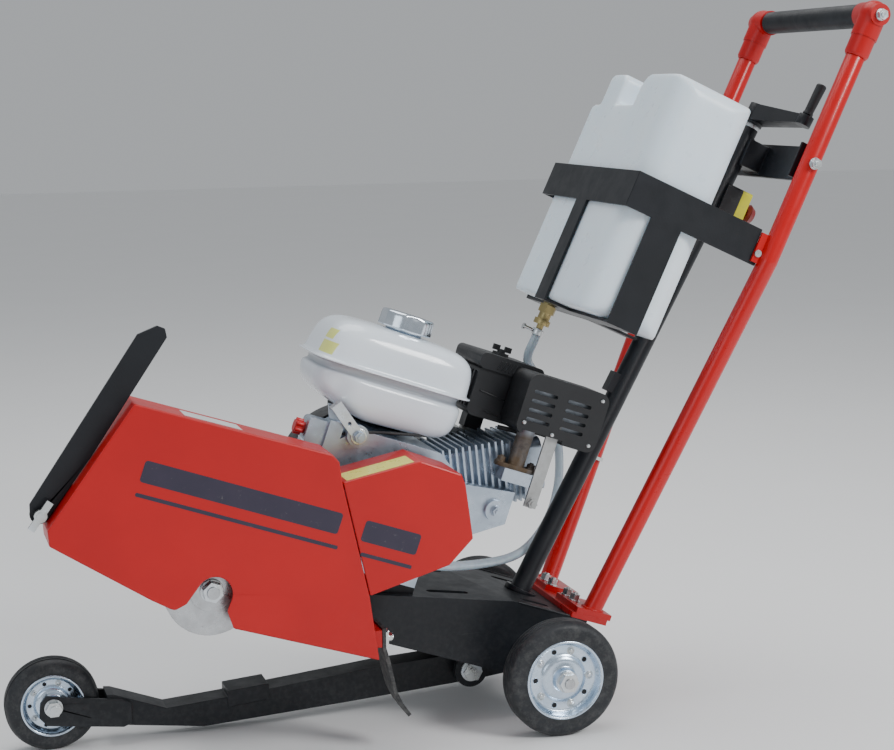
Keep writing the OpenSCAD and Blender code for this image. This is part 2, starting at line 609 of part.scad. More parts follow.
pulley_y = [-127, -103];
module pulley(r, bore) difference() {
    rod_y(r + 5, pulley_y[0], pulley_y[1]);
    for (y = [-109, -121]) translate([0, y, 0]) rotate([90, 0, 0]) rotate_extrude($fn = 96)
        polygon([[r - 6, -4.8], [r + 6, -5.4], [r + 6, 5.4], [r - 6, 4.8]]);
    rod_y(bore, -140, -90);
}
module engine_pulley() color("#6d7277") chassis() at_xz(shaft) pulley(engine_pulley_d / 2, shaft_r);
module arbor_pulley() color("#6d7277") chassis() at_xz(arbor) pulley(arbor_pulley_d / 2, arbor_r);
// Loop around both pulleys, grown by t over their pitch radii
module belt_outline(t) {
    d = shaft - arbor;
    along = atan2(d[1], d[0]);
    r1 = arbor_pulley_d / 2 + t;
    r2 = engine_pulley_d / 2 + t;
    k = asin((r1 - r2) / norm(d));
    translate(arbor) circle(r1);
    translate(shaft) circle(r2);
    up = [cos(along + 90 - k), sin(along + 90 - k)];
    down = [cos(along - 90 + k), sin(along - 90 + k)];
    polygon([arbor + r1 * up, arbor + r1 * down, shaft + r2 * down, shaft + r2 * up]);
}
module drive_belts() color("#202226") chassis() for (y = [-109, -121])
    translate([0, y + 4.2, 0]) rotate([90, 0, 0]) linear_extrude(8.4) difference() {
        belt_outline(2.4);
        belt_outline(-5.4);
    }
module crankshaft() color("#9ba1a6") chassis() at_xz(shaft) {
    rod_y(shaft_r, -129, 52);
    rod_y(26, -40, 4);
    rod_y(80, 58, 84);
    rod_y(12, 50, 100);
}
module arbor_shaft() color("#9ba1a6") chassis() at_xz(arbor) {
    rod_y(arbor_r, -152, base_half_w - 2);
    rod_y(arbor_seat_d / 2, -178, -150);
    rod_y(8, -193, -170);
}
module arbor_bearings() color("#474c52") chassis() at_xz(arbor) both_sides() difference() {
    union() {
        rod_y(24.4, 62, base_half_w - plate_t);
        rod_y(21.9, 60, base_half_w);
    }
    rod_y(arbor_r + run_gap, 50, 110);
}
module blade_flanges() color("#8b9195") chassis() at_xz(arbor) difference() {
    union() {
        rod_y(flange_d / 2, -162, -152);
        rod_y(30, -152, -140);
        rod_y(flange_d / 2, -173, -163);
        rod_y(28, -176, -173);
    }
    rod_y(arbor_seat_d / 2, -190, -152);
    rod_y(arbor_r, -152, -100);
    rod_y(flange_d / 2 - 14, -163.6, -160);
}
module arbor_nut() color("#c2c8cd") chassis() at_xz(arbor) difference() {
    union() {
        rod_y(15, -179, -176);
        translate([0, -179, 0]) rotate([90, 0, 0]) cylinder(d = 24 / cos(30), h = 12, $fn = 6);
    }
    rod_y(arbor_seat_d / 2, -178, -170);
    rod_y(8, -200, -170);
}

// ---------- engine ----------

module on_barrel() at_xz(shaft) rotate([0, -barrel_lean, 0]) children();
module xz_block(x, z, r, y_lo, y_hi) translate([(x[0] + x[1]) / 2, y_hi, (z[0] + z[1]) / 2])
    rotate([90, 0, 0]) linear_extrude(y_hi - y_lo) round_rect(x[1] - x[0], z[1] - z[0], r);

case_side = [[-392, 62], [-380, 50], [-212, 50], [-180, 128], [-150, 142], [-108, 168], [-108, 214],
    [-180, 206], [-230, 238], [-352, 238], [-392, 200]];
module crankcase() color("#a9b4be") chassis() difference() {
    union() {
        plate_xz(case_side, -84, 46);
        both_sides() box([-412, -206], [40, 84], [engine_floor, engine_floor + 14]);
        at_xz(shaft) rod_y(54, -96, -80);
        at_xz(shaft) rod_y(70, 40, 50);
        on_barrel() box([80, 194], [-46, 34], [-36, 36]);
        on_barrel() for (d = [98:9.6:190]) box([d, d + 3], [-60, 45], [-46, 46]);
        at_xz(throttle_pivot) rod_y(15, -93.6, -80);
        at_xz(throttle_pivot) rod_y(5, -99, -80);
        translate([-130, 0, 183]) rod_y(15, -92, -80);
        xz_block([-418, -372], [200, 236], 6, -78, -44);
        at_xz(throttle_pivot) translate([0, -97.4, 0]) rotate([90, 0, 0]) bolt_head(13, 6);
        translate([-130, -92, 183]) rotate([90, 0, 0]) bolt_head(12, 6);
        box([-392, -372], [-84, -60], [190, 240]);
        plate_xz([[-392, 200], [-352, 200], [-372, 246], [-384, 260], [-400, 260], [-392, 240]], -76, -72);
    }
    at_xz(shaft) rod_y(shaft_r + run_gap, -100, 60);
    at_xz(shaft) rod_y(28, -44, 8);
    for (y = [-66, 66], x = [-230, -375]) translate([x, y, 40]) cylinder(r = 4.2, h = 24);
    box([-340, -240], [-40, 40], [40, 60]);
    for (x = [-230, -375]) box([x - 13, x + 13], [-90, -54], [engine_floor + 14, 84]);
}
module cylinder_head() color("#8f99a3") chassis() {
    on_barrel() {
        box([194, 220], [-50, 38], [-38, 38]);
        for (d = [196:8:216]) box([d, d + 3], [-60, 46], [-44, 44]);
        translate([219, 0, 0]) rotate([0, 90, 0]) translate([0, -6, 0]) round_block([76, 84, 28], 14);
        translate([246, 0, 0]) rotate([0, 90, 0]) translate([0, -6, 0]) round_block([60, 66, 4], 12);
    }
    box([-136, -94], [-90, -60], [226, 244]);
    intersection() {
        box([-136, -94], [-61, -45], [226, 244]);
        on_barrel() box([194, 260], [-70, -40], [-60, 60]);
    }
}
module muffler() color("#57473c") chassis() {
    xz_block([-134, -30], [304, 374], 20, -86, -30);
    translate([-116, -73, 249]) cylinder(r = 12, h = 60);
    translate([-116, -73, 244]) round_block([62, 24, 6], 11);
    for (x = [-23, 23]) translate([-116 + x, -73, 250 - eps]) bolt_head(11, 5);
    box([-92, -74], [-90, -86], [200, 330]);
    translate([-83, -90, 207]) rotate([90, 0, 0]) bolt_head(12, 6);
}
module muffler_guard() color("#16181a") chassis() difference() {
    xz_block([-143, -20], [296, 381], 14, -97, -30);
    xz_block([-140.6, -22.4], [298.4, 378.6], 12, -94.6, -20);
    for (x = [-114, -62], k = [0:3]) translate([x, -100, 318 + 13 * k]) rotate([-90, 0, 0])
        round_block([36, 5, 10], 2.4);
    for (x = [-128:9:-34]) translate([x, -86, 370]) cylinder(r = 2, h = 20);
    box([-132, -70], [-100, -40], [290, 302]);
}
tank_x = [-436, -203];
tank_y = [-95, 68];
module tank_posts(in, r, z)
    for (x = [tank_x[0] + in + r, tank_x[1] - in - r], y = [tank_y[0] + in + r, tank_y[1] - in - r])
        translate([x, y, z[0]]) cylinder(r = r, h = z[1] - z[0], $fn = 32);
module fuel_tank() color("#e9edf0") chassis() difference() {
    union() {
        hull() tank_posts(0, 34, [314, 319]);
        hull() {
            tank_posts(6, 30, [318, 346]);
            tank_posts(12, 30, [318, 364]);
            tank_posts(30, 26, [318, 379]);
        }
        hull() {
            tank_posts(10, 30, [284, 316]);
            tank_posts(26, 26, [262, 316]);
            translate([tank_x[1] - 64, -56, 253]) cylinder(r = 30, h = 20, $fn = 32);
            translate([tank_x[1] - 64, 19, 253]) cylinder(r = 30, h = 20, $fn = 32);
        }
        translate([-311, -14, 377]) cylinder(r = 26, h = 9);
    }
    translate([-311, -14, 360]) cylinder(r = 22, h = 40);
}
module fuel_cap() color("#d3dae0") chassis() translate([-311, -14, 380 + body_gap]) {
    difference() {
        cylinder(r = 38, h = 23);
        translate([0, 0, -1]) cylinder(r = 30, h = 12);
        for (a = [0:36:324]) rotate([0, 0, a]) translate([40.5, 0, -1]) cylinder(r = 4, h = 17);
    }
    translate([0, 0, 2]) cylinder(r = 21, h = 12);
}
module air_cleaner() color("#17191b") chassis() {
    xz_block([-192, -102], [296, 366], 10, -25, 78);
    xz_block([-196, -98], [364, 386], 8, -29, 82);
    for (y = [-16:12:68]) box([-194.5, -190], [y, y + 5], [306, 358]);
    translate([-150, 26, 384]) cylinder(r = 12, h = 6);
    translate([-150, 26, 389]) cylinder(r = 6, h = 6);
    for (x = [-9, 9]) translate([-150 + x, 26, 396]) cube([10, 5, 8], center = true);
    box([-160, -134], [52, 76], [272, 298]);
}
module carburettor() color("#8c8a80") chassis() {
    xz_block([-196, -150], [236, 268], 8, 48, 96);
    translate([-172, 70, 214]) cylinder(r = 18, h = 24);
    box([-156, -132], [50, 80], [240, 272]);
}
module fan_housing() color("#24272b") chassis() difference() {
    union() {
        at_xz(shaft) rod_y(104, 52, 104);
        xz_block([-262, -150], [172, 236], 16, 50.4, 96);
    }
    at_xz(shaft) rod_y(92, 40, 100);
    at_xz(shaft) rod_y(60, 90, 120);
    box([-420, -150], [40, 110], [40, engine_floor + 14 + body_gap]);
    box([-246, -214], [40, 84], [60, 80]);
    box([-260, -130], [46, 92], [176, 232]);
    xz_block([-200, -146], [232, 272], 8, 40, 100);
}
module recoil_starter() color("#202327") chassis() difference() {
    union() {
        at_xz(shaft) rod_y(88, 104, 132);
        at_xz(shaft) rod_y(70, 132, 142);
        translate([-330, 118, 234]) rotate([0, -20, 0]) translate([0, 0, -20]) cylinder(r = 11, h = 38);
    }
    at_xz(shaft) rod_y(78, 100, 128);
    for (a = [0:30:330]) at_xz(shaft) rotate([0, a, 0]) box([46, 64], [124, 150], [-4, 4]);
    translate([-330, 118, 234]) rotate([0, -20, 0]) translate([0, 0, -30]) cylinder(r = 4, h = 70);
}
module starter_grip() color("#26292d") chassis() translate([-330, 118, 234]) rotate([0, -20, 0]) {
    translate([0, 0, 18 + body_gap]) cylinder(r = 6, h = 12);
    translate([0, 0, 36]) rod_y(8, -24, 24);
}
module ignition_switch() color("#c9161c") chassis() translate([-418 - body_gap, -61, 218])
    rotate([0, -90, 0]) {
    cylinder(r = 8, h = 14);
    for (a = [0:60:300]) rotate([0, 0, a]) translate([8, 0, 3]) cylinder(r = 3.2, h = 10);
}
throttle_pivot = [-352, 230];
throttle_lean = 53;                  // lean of the lever towards the front
module throttle_lever() color("#9aa1a8") chassis() at_xz(throttle_pivot) translate([0, -94, 0])
    rotate([0, -throttle_lean, 0]) {
        rotate([90, 0, 0]) linear_extrude(3) difference() {
            union() {
                circle(r = 11);
                translate([-8, 0]) square([16, 54]);
            }
            circle(r = 5 + run_gap);
            translate([0, 22]) circle(r = 2.5);
        }
        box([-8, 8], [-1, 12], [51, 54]);
    }

base_frame();
engine_rails();
frame_bolts();
blade_guard();
belt_cover();
rubber_flap();
rear_bracket();
handle_leg_left();
handle_leg_right();
handle_elbows();
grip_tube();
grip_sleeve();
crank_bracket();
spindle_tube();
spindle_screw();
push_rod();
crank_arm();
crank_knob();
tank_cradle();
water_tank();
tank_cap();
drain_fitting();
hose_clips();
water_hose();
estop_box();
estop_button();
rear_axle();
axle_nuts();
rear_tyre_left();
rear_rim_left();
rear_tyre_right();
rear_rim_right();
front_arm();
arm_pivot_bolt();
front_axle();
front_tyre();
front_rim();
pointer_bar();
pointer_wing_nut();
crankcase();
cylinder_head();
crankshaft();
engine_pulley();
drive_belts();
arbor_pulley();
arbor_shaft();
arbor_bearings();
blade_flanges();
arbor_nut();
fuel_tank();
fuel_cap();
air_cleaner();
carburettor();
muffler();
muffler_guard();
fan_housing();
recoil_starter();
starter_grip();
ignition_switch();
throttle_lever();
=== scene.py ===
import json
import math

import bmesh
import bpy
import numpy as np
from mathutils import Matrix, Vector, noise


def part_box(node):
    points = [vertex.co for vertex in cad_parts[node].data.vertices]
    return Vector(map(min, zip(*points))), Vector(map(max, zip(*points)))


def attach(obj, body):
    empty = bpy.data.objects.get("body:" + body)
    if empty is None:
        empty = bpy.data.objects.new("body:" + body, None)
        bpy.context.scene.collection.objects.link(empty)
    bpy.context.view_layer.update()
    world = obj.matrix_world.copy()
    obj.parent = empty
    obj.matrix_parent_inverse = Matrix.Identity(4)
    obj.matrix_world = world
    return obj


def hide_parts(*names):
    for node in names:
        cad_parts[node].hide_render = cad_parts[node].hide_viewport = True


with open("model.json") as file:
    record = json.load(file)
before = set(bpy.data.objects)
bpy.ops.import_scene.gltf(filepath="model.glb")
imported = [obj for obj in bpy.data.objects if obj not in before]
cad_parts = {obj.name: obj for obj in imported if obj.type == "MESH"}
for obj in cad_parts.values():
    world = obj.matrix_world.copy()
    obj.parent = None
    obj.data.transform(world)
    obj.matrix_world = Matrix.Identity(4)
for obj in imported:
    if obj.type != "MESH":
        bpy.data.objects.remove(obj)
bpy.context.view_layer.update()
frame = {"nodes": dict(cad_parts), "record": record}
scene = bpy.context.scene

# ---------- places, all worked out from the frame ----------


def mid(node):
    """Middle of a node's box."""
    lo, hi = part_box(node)
    return (lo + hi) / 2


AXLE = mid("rear_axle")
NOSE_UP = math.radians(19.5)
HANDLE_LEAN = math.radians(25)
HANDLE_FOOT = (84, 143.5)    # X from the rear axle and height, millimetres


def chassis(x, y, z):
    """A point of the tilted chassis, given in millimetres from the rear axle."""
    c, s = math.cos(NOSE_UP), math.sin(NOSE_UP)
    return Vector((AXLE.x + (x * c + z * s) / 1000, y / 1000, AXLE.z + (-x * s + z * c) / 1000))


def handle(x, y, z):
    """A point in the handle's own frame, in millimetres, z along the pipes."""
    c, s = math.cos(HANDLE_LEAN), math.sin(HANDLE_LEAN)
    along, up_from = HANDLE_FOOT[0] + x * c + z * s, HANDLE_FOOT[1] - x * s + z * c
    return Vector((AXLE.x + along / 1000, y / 1000, up_from / 1000))


CHASSIS = Matrix.Translation(AXLE) @ Matrix.Rotation(NOSE_UP, 4, "Y")

# ---------- camera ----------

LENS_MM, SENSOR_MM = 74.04, 36
CAMERA_FROM_AXLE = (-0.8665, -2.4254, 0.8722)    # X from the rear axle, Y, height
cam_data = bpy.data.cameras.new("camera")
cam_data.lens = LENS_MM
cam_data.sensor_width = SENSOR_MM
cam_data.clip_start = 0.05
cam_data.clip_end = 60
cam = bpy.data.objects.new("camera", cam_data)
scene.collection.objects.link(cam)
az, el, roll = math.radians(-17.53), math.radians(8.89), math.radians(-0.70)
back = Vector((math.sin(az) * math.cos(el), -math.cos(az) * math.cos(el), math.sin(el)))
right = Vector((math.cos(az), math.sin(az), 0))
up = back.cross(right)
cam_x = math.cos(roll) * right + math.sin(roll) * up
cam_y = -math.sin(roll) * right + math.cos(roll) * up
turn = Matrix((cam_x, cam_y, back)).transposed()
cam_at = Vector(CAMERA_FROM_AXLE) + Vector((AXLE.x, 0, 0))
cam.matrix_world = Matrix.Translation(cam_at) @ turn.to_4x4()
scene.camera = cam

# ---------- materials ----------


class Mat:
    """A node material in the making."""

    def __init__(self, name):
        self.m = bpy.data.materials.new(name)
        self.m.use_nodes = True
        self.t = self.m.node_tree
        self.t.nodes.clear()
        self.out = self.node("ShaderNodeOutputMaterial")
        self.b = self.node("ShaderNodeBsdfPrincipled")
        self.link(self.b.outputs[0], self.out.inputs[0])
        self.co = self.node("ShaderNodeTexCoord").outputs["Object"]

    def node(self, kind, **values):
        n = self.t.nodes.new(kind)
        for k, v in values.items():
            setattr(n, k, v)
        return n

    def link(self, a, b):
        self.t.links.new(a, b)

    def fixed(self, **values):
        for k, v in values.items():
            self.b.inputs[k.replace("_", " ")].default_value = v
        return self

    def stretched(self, scale, turn_by=(0, 0, 0)):
        n = self.node("ShaderNodeMapping")
        n.inputs["Scale"].default_value = scale
        n.inputs["Rotation"].default_value = turn_by
        self.link(self.co, n.inputs[0])
        return n.outputs[0]

    def noise(self, scale, detail=4.0, rough=0.55, vec=None, distort=0.0):
        n = self.node("ShaderNodeTexNoise")
        n.inputs["Scale"].default_value = scale
        n.inputs["Detail"].default_value = detail
        n.inputs["Roughness"].default_value = rough
        n.inputs["Distortion"].default_value = distort
        self.link(vec or self.co, n.inputs["Vector"])
        return n.outputs["Fac"]

    def cells(self, scale, vec=None):
        n = self.node("ShaderNodeTexVoronoi")
        n.inputs["Scale"].default_value = scale
        self.link(vec or self.co, n.inputs["Vector"])
        return n.outputs["Distance"]

    def ramp(self, fac, stops):
        n = self.node("ShaderNodeValToRGB")
        r = n.color_ramp
        while len(r.elements) < len(stops):
            r.elements.new(0.5)
        for e, (p, c) in zip(r.elements, stops):
            e.position = p
            e.color = c if len(c) == 4 else (*c, 1)
        self.link(fac, n.inputs[0])
        return n.outputs[0]

    def mask(self, fac, lo, hi):
        n = self.node("ShaderNodeMapRange")
        n.inputs["From Min"].default_value = lo
        n.inputs["From Max"].default_value = hi
        self.link(fac, n.inputs["Value"])
        return n.outputs[0]

    def span(self, fac, lo, hi):
        n = self.node("ShaderNodeMapRange")
        n.inputs["From Min"].default_value = 0.3
        n.inputs["From Max"].default_value = 0.7
        n.inputs["To Min"].default_value = lo
        n.inputs["To Max"].default_value = hi
        self.link(fac, n.inputs["Value"])
        return n.outputs[0]

    def math(self, kind, a, b):
        n = self.node("ShaderNodeMath", operation=kind)
        for i, x in enumerate((a, b)):
            if isinstance(x, (int, float)):
                n.inputs[i].default_value = x
            else:
                self.link(x, n.inputs[i])
        return n.outputs[0]

    def mix(self, fac, a, b):
        n = self.node("ShaderNodeMix", data_type="RGBA", blend_type="MIX")
        for i, x in ((0, fac), (6, a), (7, b)):
            if isinstance(x, (int, float)):
                n.inputs[i].default_value = x
            elif isinstance(x, tuple):
                n.inputs[i].default_value = x if len(x) == 4 else (*x, 1)
            else:
                self.link(x, n.inputs[i])
        return n.outputs[2]

    def facing_up(self):
        g = self.node("ShaderNodeNewGeometry")
        s = self.node("ShaderNodeSeparateXYZ")
        self.link(g.outputs["Normal"], s.inputs[0])
        return self.mask(s.outputs["Z"], 0.35, 0.95)

    def along(self, direction, origin):
        """Distance from the origin along the direction, in metres."""
        n = self.node("ShaderNodeVectorMath", operation="DOT_PRODUCT")
        self.link(self.co, n.inputs[0])
        n.inputs[1].default_value = direction
        return self.math("SUBTRACT", n.outputs["Value"], Vector(direction).dot(Vector(origin)))

    def inside(self, value, lo, hi, soft=0.0004):
        return self.math("MULTIPLY", self.mask(value, lo - soft, lo + soft),
            self.mask(value, hi + soft, hi - soft))

    def height(self):
        s = self.node("ShaderNodeSeparateXYZ")
        self.link(self.co, s.inputs[0])
        return s.outputs["Z"]

    def colour(self, c):
        self.link(c, self.b.inputs["Base Color"])
        return self

    def roughness(self, r):
        self.link(r, self.b.inputs["Roughness"])
        return self

    def bump(self, *layers):
        """Layers of (height, strength, distance in metres), one over the other."""
        last = None
        for h, strength, distance in layers:
            n = self.node("ShaderNodeBump")
            n.inputs["Strength"].default_value = strength
            n.inputs["Distance"].default_value = distance
            self.link(h, n.inputs["Height"])
            if last:
                self.link(last, n.inputs["Normal"])
            last = n.outputs[0]
        self.link(last, self.b.inputs["Normal"])
        return self


def paint(name, base, deep, dust, rough=(0.22, 0.42), coat=0.5, dusty=0.35, peel=0.25):
    """Sprayed gloss paint with orange peel, fine scratches, settled dust and splashed lower edges."""
    m = Mat(name)
    cloud = m.noise(9, 5)
    fine = m.noise(140, 4, 0.6)
    scratch = m.noise(60, 3, 0.7, m.stretched((0.25, 1, 9), (0.2, 0.5, 0.1)))
    c = m.mix(m.mask(cloud, 0.3, 0.7), base, deep)
    c = m.mix(m.math("MULTIPLY", m.mask(scratch, 0.70, 0.82), 0.35), c, dust)
    up_dust = m.math("MULTIPLY", m.facing_up(), m.math("MULTIPLY", m.mask(m.noise(26, 6, 0.7), 0.36, 0.75),
        dusty))
    c = m.mix(up_dust, c, dust)
    low = m.math("MULTIPLY", m.mask(m.height(), 0.24, 0.05), m.math("MULTIPLY", m.mask(fine, 0.42, 0.7),
        dusty * 0.7))
    c = m.mix(low, c, dust)
    m.colour(c)
    r = m.span(m.noise(34, 5, 0.65), *rough)
    r = m.math("ADD", r, m.math("MULTIPLY", up_dust, 0.4))
    m.roughness(r)
    m.bump((m.noise(330, 2, 0.5), peel, 0.0004), (scratch, 0.05, 0.0004))
    return m.fixed(Coat_Weight=coat, Coat_Roughness=0.12, Specular_IOR_Level=0.35).m


def plated(name, base, tint, rough=(0.18, 0.38), metallic=1.0, grime=(0.10, 0.10, 0.11), brush=(1, 1, 1),
    bump=0.15):
    """Bright zinc or steel with a brushed grain and grime in its hollows."""
    m = Mat(name)
    c = m.mix(m.mask(m.noise(40, 4), 0.35, 0.65), base, tint)
    c = m.mix(m.math("MULTIPLY", m.mask(m.noise(95, 6, 0.75), 0.60, 0.80), 0.6), c, grime)
    m.colour(c)
    m.roughness(m.span(m.noise(70, 5, 0.7), *rough))
    m.bump((m.noise(420, 3, 0.6, m.stretched(brush)), bump, 0.0003), (m.noise(30, 2), 0.06, 0.001))
    return m.fixed(Metallic=metallic).m


def moulded(name, base, tint, rough=(0.42, 0.62), grain=0.35, dusty=0.25, dust=(0.30, 0.29, 0.27), scale=900):
    """Moulded plastic or satin black coating with a fine grain and a film of dust."""
    m = Mat(name)
    c = m.mix(m.mask(m.noise(18, 5), 0.3, 0.7), base, tint)
    up_dust = m.math("MULTIPLY", m.facing_up(), m.math("MULTIPLY", m.mask(m.noise(60, 6, 0.75), 0.35, 0.75),
        dusty))
    c = m.mix(up_dust, c, dust)
    m.colour(c)
    m.roughness(m.span(m.noise(55, 5, 0.6), *rough))
    m.bump((m.noise(scale, 3, 0.6), grain, 0.0003), (m.noise(45, 3), 0.08, 0.0012))
    return m.fixed(Specular_IOR_Level=0.5).m


def rubber(name, base, tint, dusty=0.4, rough=(0.5, 0.75)):
    m = Mat(name)
    c = m.mix(m.mask(m.noise(24, 5), 0.3, 0.7), base, tint)
    dirt = m.math("MULTIPLY", m.mask(m.noise(85, 7, 0.8), 0.46, 0.74), dusty)
    c = m.mix(dirt, c, (0.22, 0.215, 0.20))
    m.colour(c)
    m.roughness(m.span(m.noise(60, 5, 0.6), *rough))
    m.bump((m.noise(700, 4, 0.65), 0.35, 0.0004), (m.noise(50, 4), 0.15, 0.0012))
    return m.fixed(Specular_IOR_Level=0.45).m


def cast(name, base, tint):
    """Die-cast aluminium: sandy skin, darker in the hollows, with oily patches."""
    m = Mat(name)
    c = m.mix(m.mask(m.noise(20, 5), 0.3, 0.7), base, tint)
    c = m.mix(m.math("MULTIPLY", m.mask(m.noise(60, 7, 0.75), 0.56, 0.78), 0.5), c, (0.12, 0.12, 0.12))
    m.colour(c)
    m.roughness(m.span(m.noise(50, 5, 0.7), 0.22, 0.44))
    m.bump((m.cells(800), 0.14, 0.0004), (m.noise(260, 4, 0.6), 0.18, 0.0006))
    return m.fixed(Metallic=0.82).m


def poly_tank(name):
    """Translucent blow-moulded polyethylene."""
    m = Mat(name)
    c = m.mix(m.mask(m.noise(6, 4), 0.3, 0.7), (0.80, 0.89, 0.965), (0.72, 0.83, 0.93))
    c = m.mix(m.math("MULTIPLY", m.mask(m.noise(70, 6, 0.75), 0.60, 0.80), 0.10), c, (0.50, 0.52, 0.50))
    m.colour(c)
    m.roughness(m.span(m.noise(40, 5), 0.24, 0.42))
    m.bump((m.noise(260, 3, 0.6), 0.10, 0.0005), (m.noise(14, 2), 0.25, 0.0025))
    m.fixed(Subsurface_Weight=0.35, Subsurface_Scale=0.02, Subsurface_Radius=(0.7, 0.9, 1.0), IOR=1.5)
    return m.m


def hose_plastic(name):
    m = Mat(name)
    c = m.mix(m.mask(m.noise(60, 4), 0.3, 0.7), (0.62, 0.72, 0.80), (0.50, 0.60, 0.68))
    m.colour(c)
    m.roughness(m.span(m.noise(80, 4), 0.10, 0.26))
    m.bump((m.noise(300, 2), 0.06, 0.0004))
    return m.fixed(Transmission_Weight=0.45, IOR=1.45, Subsurface_Weight=0.1, Subsurface_Scale=0.004).m


def stop_shell(name):
    """Stop button housing: black base, yellow cover."""
    m = Mat(name)
    c = m.mix(m.mask(m.noise(18, 5), 0.3, 0.7), (0.60, 0.56, 0.010), (0.50, 0.47, 0.010))
    cover = m.along((math.cos(HANDLE_LEAN), 0, -math.sin(HANDLE_LEAN)), handle(-6, 0, 0))
    c = m.mix(m.mask(cover, -0.0002, 0.0002), (0.008, 0.008, 0.010), c)
    c = m.mix(m.math("MULTIPLY", m.mask(m.noise(60, 6, 0.75), 0.55, 0.80), 0.3), c, (0.20, 0.19, 0.17))
    m.colour(c)
    m.roughness(m.span(m.noise(55, 5, 0.6), 0.34, 0.52))
    m.bump((m.noise(900, 3, 0.6), 0.25, 0.0003), (m.noise(45, 3), 0.08, 0.0012))
    return m.fixed(Specular_IOR_Level=0.5).m


def heat_steel(name):
    m = Mat(name)
    c = m.ramp(m.noise(22, 5, 0.65, None, 0.6), [(0.30, (0.060, 0.046, 0.036)),
        (0.48, (0.120, 0.085, 0.055)), (0.60, (0.130, 0.115, 0.105)), (0.75, (0.045, 0.038, 0.034))])
    high = m.along((math.sin(NOSE_UP), 0, math.cos(NOSE_UP)), AXLE)
    c = m.mix(m.mask(high, 0.290, 0.300), c, (0.30, 0.33, 0.37))
    stay = m.mask(m.along((0, -1, 0), (0, -0.086, 0)), 0.0001, 0.0004)
    c = m.mix(stay, c, m.mix(m.mask(m.noise(50, 5), 0.35, 0.7), (0.46, 0.47, 0.47), (0.34, 0.34, 0.33)))
    m.colour(c)
    m.roughness(m.span(m.noise(70, 6), 0.35, 0.65))
    m.bump((m.noise(300, 5, 0.7), 0.35, 0.0006))
    return m.fixed(Metallic=0.85).m


M = {
    "frame_black": paint("black_powder_coat", (0.006, 0.0075, 0.010), (0.010, 0.012, 0.016),
        (0.16, 0.16, 0.158), (0.36, 0.54), 0.05, 0.12, 0.24),
    "guard_red": paint("red_guard_paint", (0.50, 0.0016, 0.0022), (0.44, 0.0014, 0.002), (0.42, 0.10, 0.08),
        (0.34, 0.50), 0.16, 0.14, 0.14),
    "handle_red": paint("red_pipe_paint", (0.52, 0.002, 0.0028), (0.46, 0.0018, 0.0024), (0.42, 0.12, 0.10),
        (0.24, 0.40), 0.25, 0.14, 0.14),
    "zinc": plated("zinc_plate", (0.70, 0.74, 0.78), (0.62, 0.64, 0.62), (0.20, 0.42)),
    "steel": plated("turned_steel", (0.55, 0.57, 0.59), (0.45, 0.46, 0.47), (0.20, 0.40), brush=(1, 8, 1)),
    "crank_black": paint("black_satin_paint", (0.005, 0.006, 0.009), (0.010, 0.012, 0.016),
        (0.16, 0.16, 0.158), (0.32, 0.48), 0.06, 0.10, 0.20),
    "flap_rubber": rubber("flap_rubber", (0.018, 0.019, 0.021), (0.035, 0.035, 0.036), 0.5),
    "sleeve_rubber": rubber("sleeve_rubber", (0.008, 0.010, 0.013), (0.014, 0.017, 0.021), 0.08,
        (0.36, 0.55)),
    "tank_plastic": poly_tank("blow_moulded_tank"),
    "cap_plastic": moulded("white_cap", (0.78, 0.82, 0.86), (0.70, 0.75, 0.80), (0.30, 0.48), 0.15, 0.10),
    "brass": plated("dull_brass", (0.46, 0.37, 0.17), (0.33, 0.27, 0.13), (0.30, 0.52), 1.0,
        (0.10, 0.09, 0.06)),
    "hose_plastic": hose_plastic("clear_hose"),
    "estop_yellow": stop_shell("yellow_plastic"),
    "estop_red": moulded("dark_red_plastic", (0.22, 0.02, 0.02), (0.16, 0.015, 0.015), (0.25, 0.42), 0.12,
        0.10),
    "tyre": rubber("tyre_rubber", (0.008, 0.010, 0.013), (0.018, 0.020, 0.024), 0.24, (0.42, 0.64)),
    "rim_zinc": plated("blue_zinc_rim", (0.66, 0.76, 0.88), (0.55, 0.66, 0.78), (0.16, 0.36), 1.0,
        (0.10, 0.12, 0.15)),
    "engine_alu": cast("cast_aluminium", (0.52, 0.59, 0.68), (0.40, 0.47, 0.55)),
    "fuel_white": paint("white_tank_paint", (0.80, 0.85, 0.90), (0.74, 0.80, 0.86), (0.56, 0.56, 0.52),
        (0.10, 0.24), 0.8, 0.10, 0.10),
    "fuel_cap": plated("bright_cap", (0.74, 0.80, 0.87), (0.62, 0.70, 0.78), (0.08, 0.22)),
    "engine_black": moulded("black_engine_plastic", (0.006, 0.007, 0.009), (0.011, 0.012, 0.015),
        (0.36, 0.54), 0.38, 0.14),
    "carb_metal": cast("zinc_alloy", (0.44, 0.44, 0.42), (0.34, 0.34, 0.33)),
    "muffler_steel": heat_steel("heat_stained_steel"),
    "guard_black": moulded("heat_proof_black", (0.005, 0.0055, 0.007), (0.010, 0.011, 0.013), (0.38, 0.56),
        0.45, 0.14, scale=700),
    "switch_red": moulded("red_plastic", (0.60, 0.018, 0.022), (0.50, 0.014, 0.018), (0.28, 0.45), 0.15,
        0.10),
    "belt_rubber": rubber("belt_rubber", (0.020, 0.021, 0.023), (0.035, 0.035, 0.037), 0.3),
    "cast_grey": cast("cast_iron", (0.20, 0.21, 0.22), (0.14, 0.15, 0.16)),
}
node_slot = {s["node"]: s["material_slot"] for s in frame["record"]["subparts"]}


def smooth(o):
    """Smooth shading on every face."""
    for p in o.data.polygons:
        p.use_smooth = True


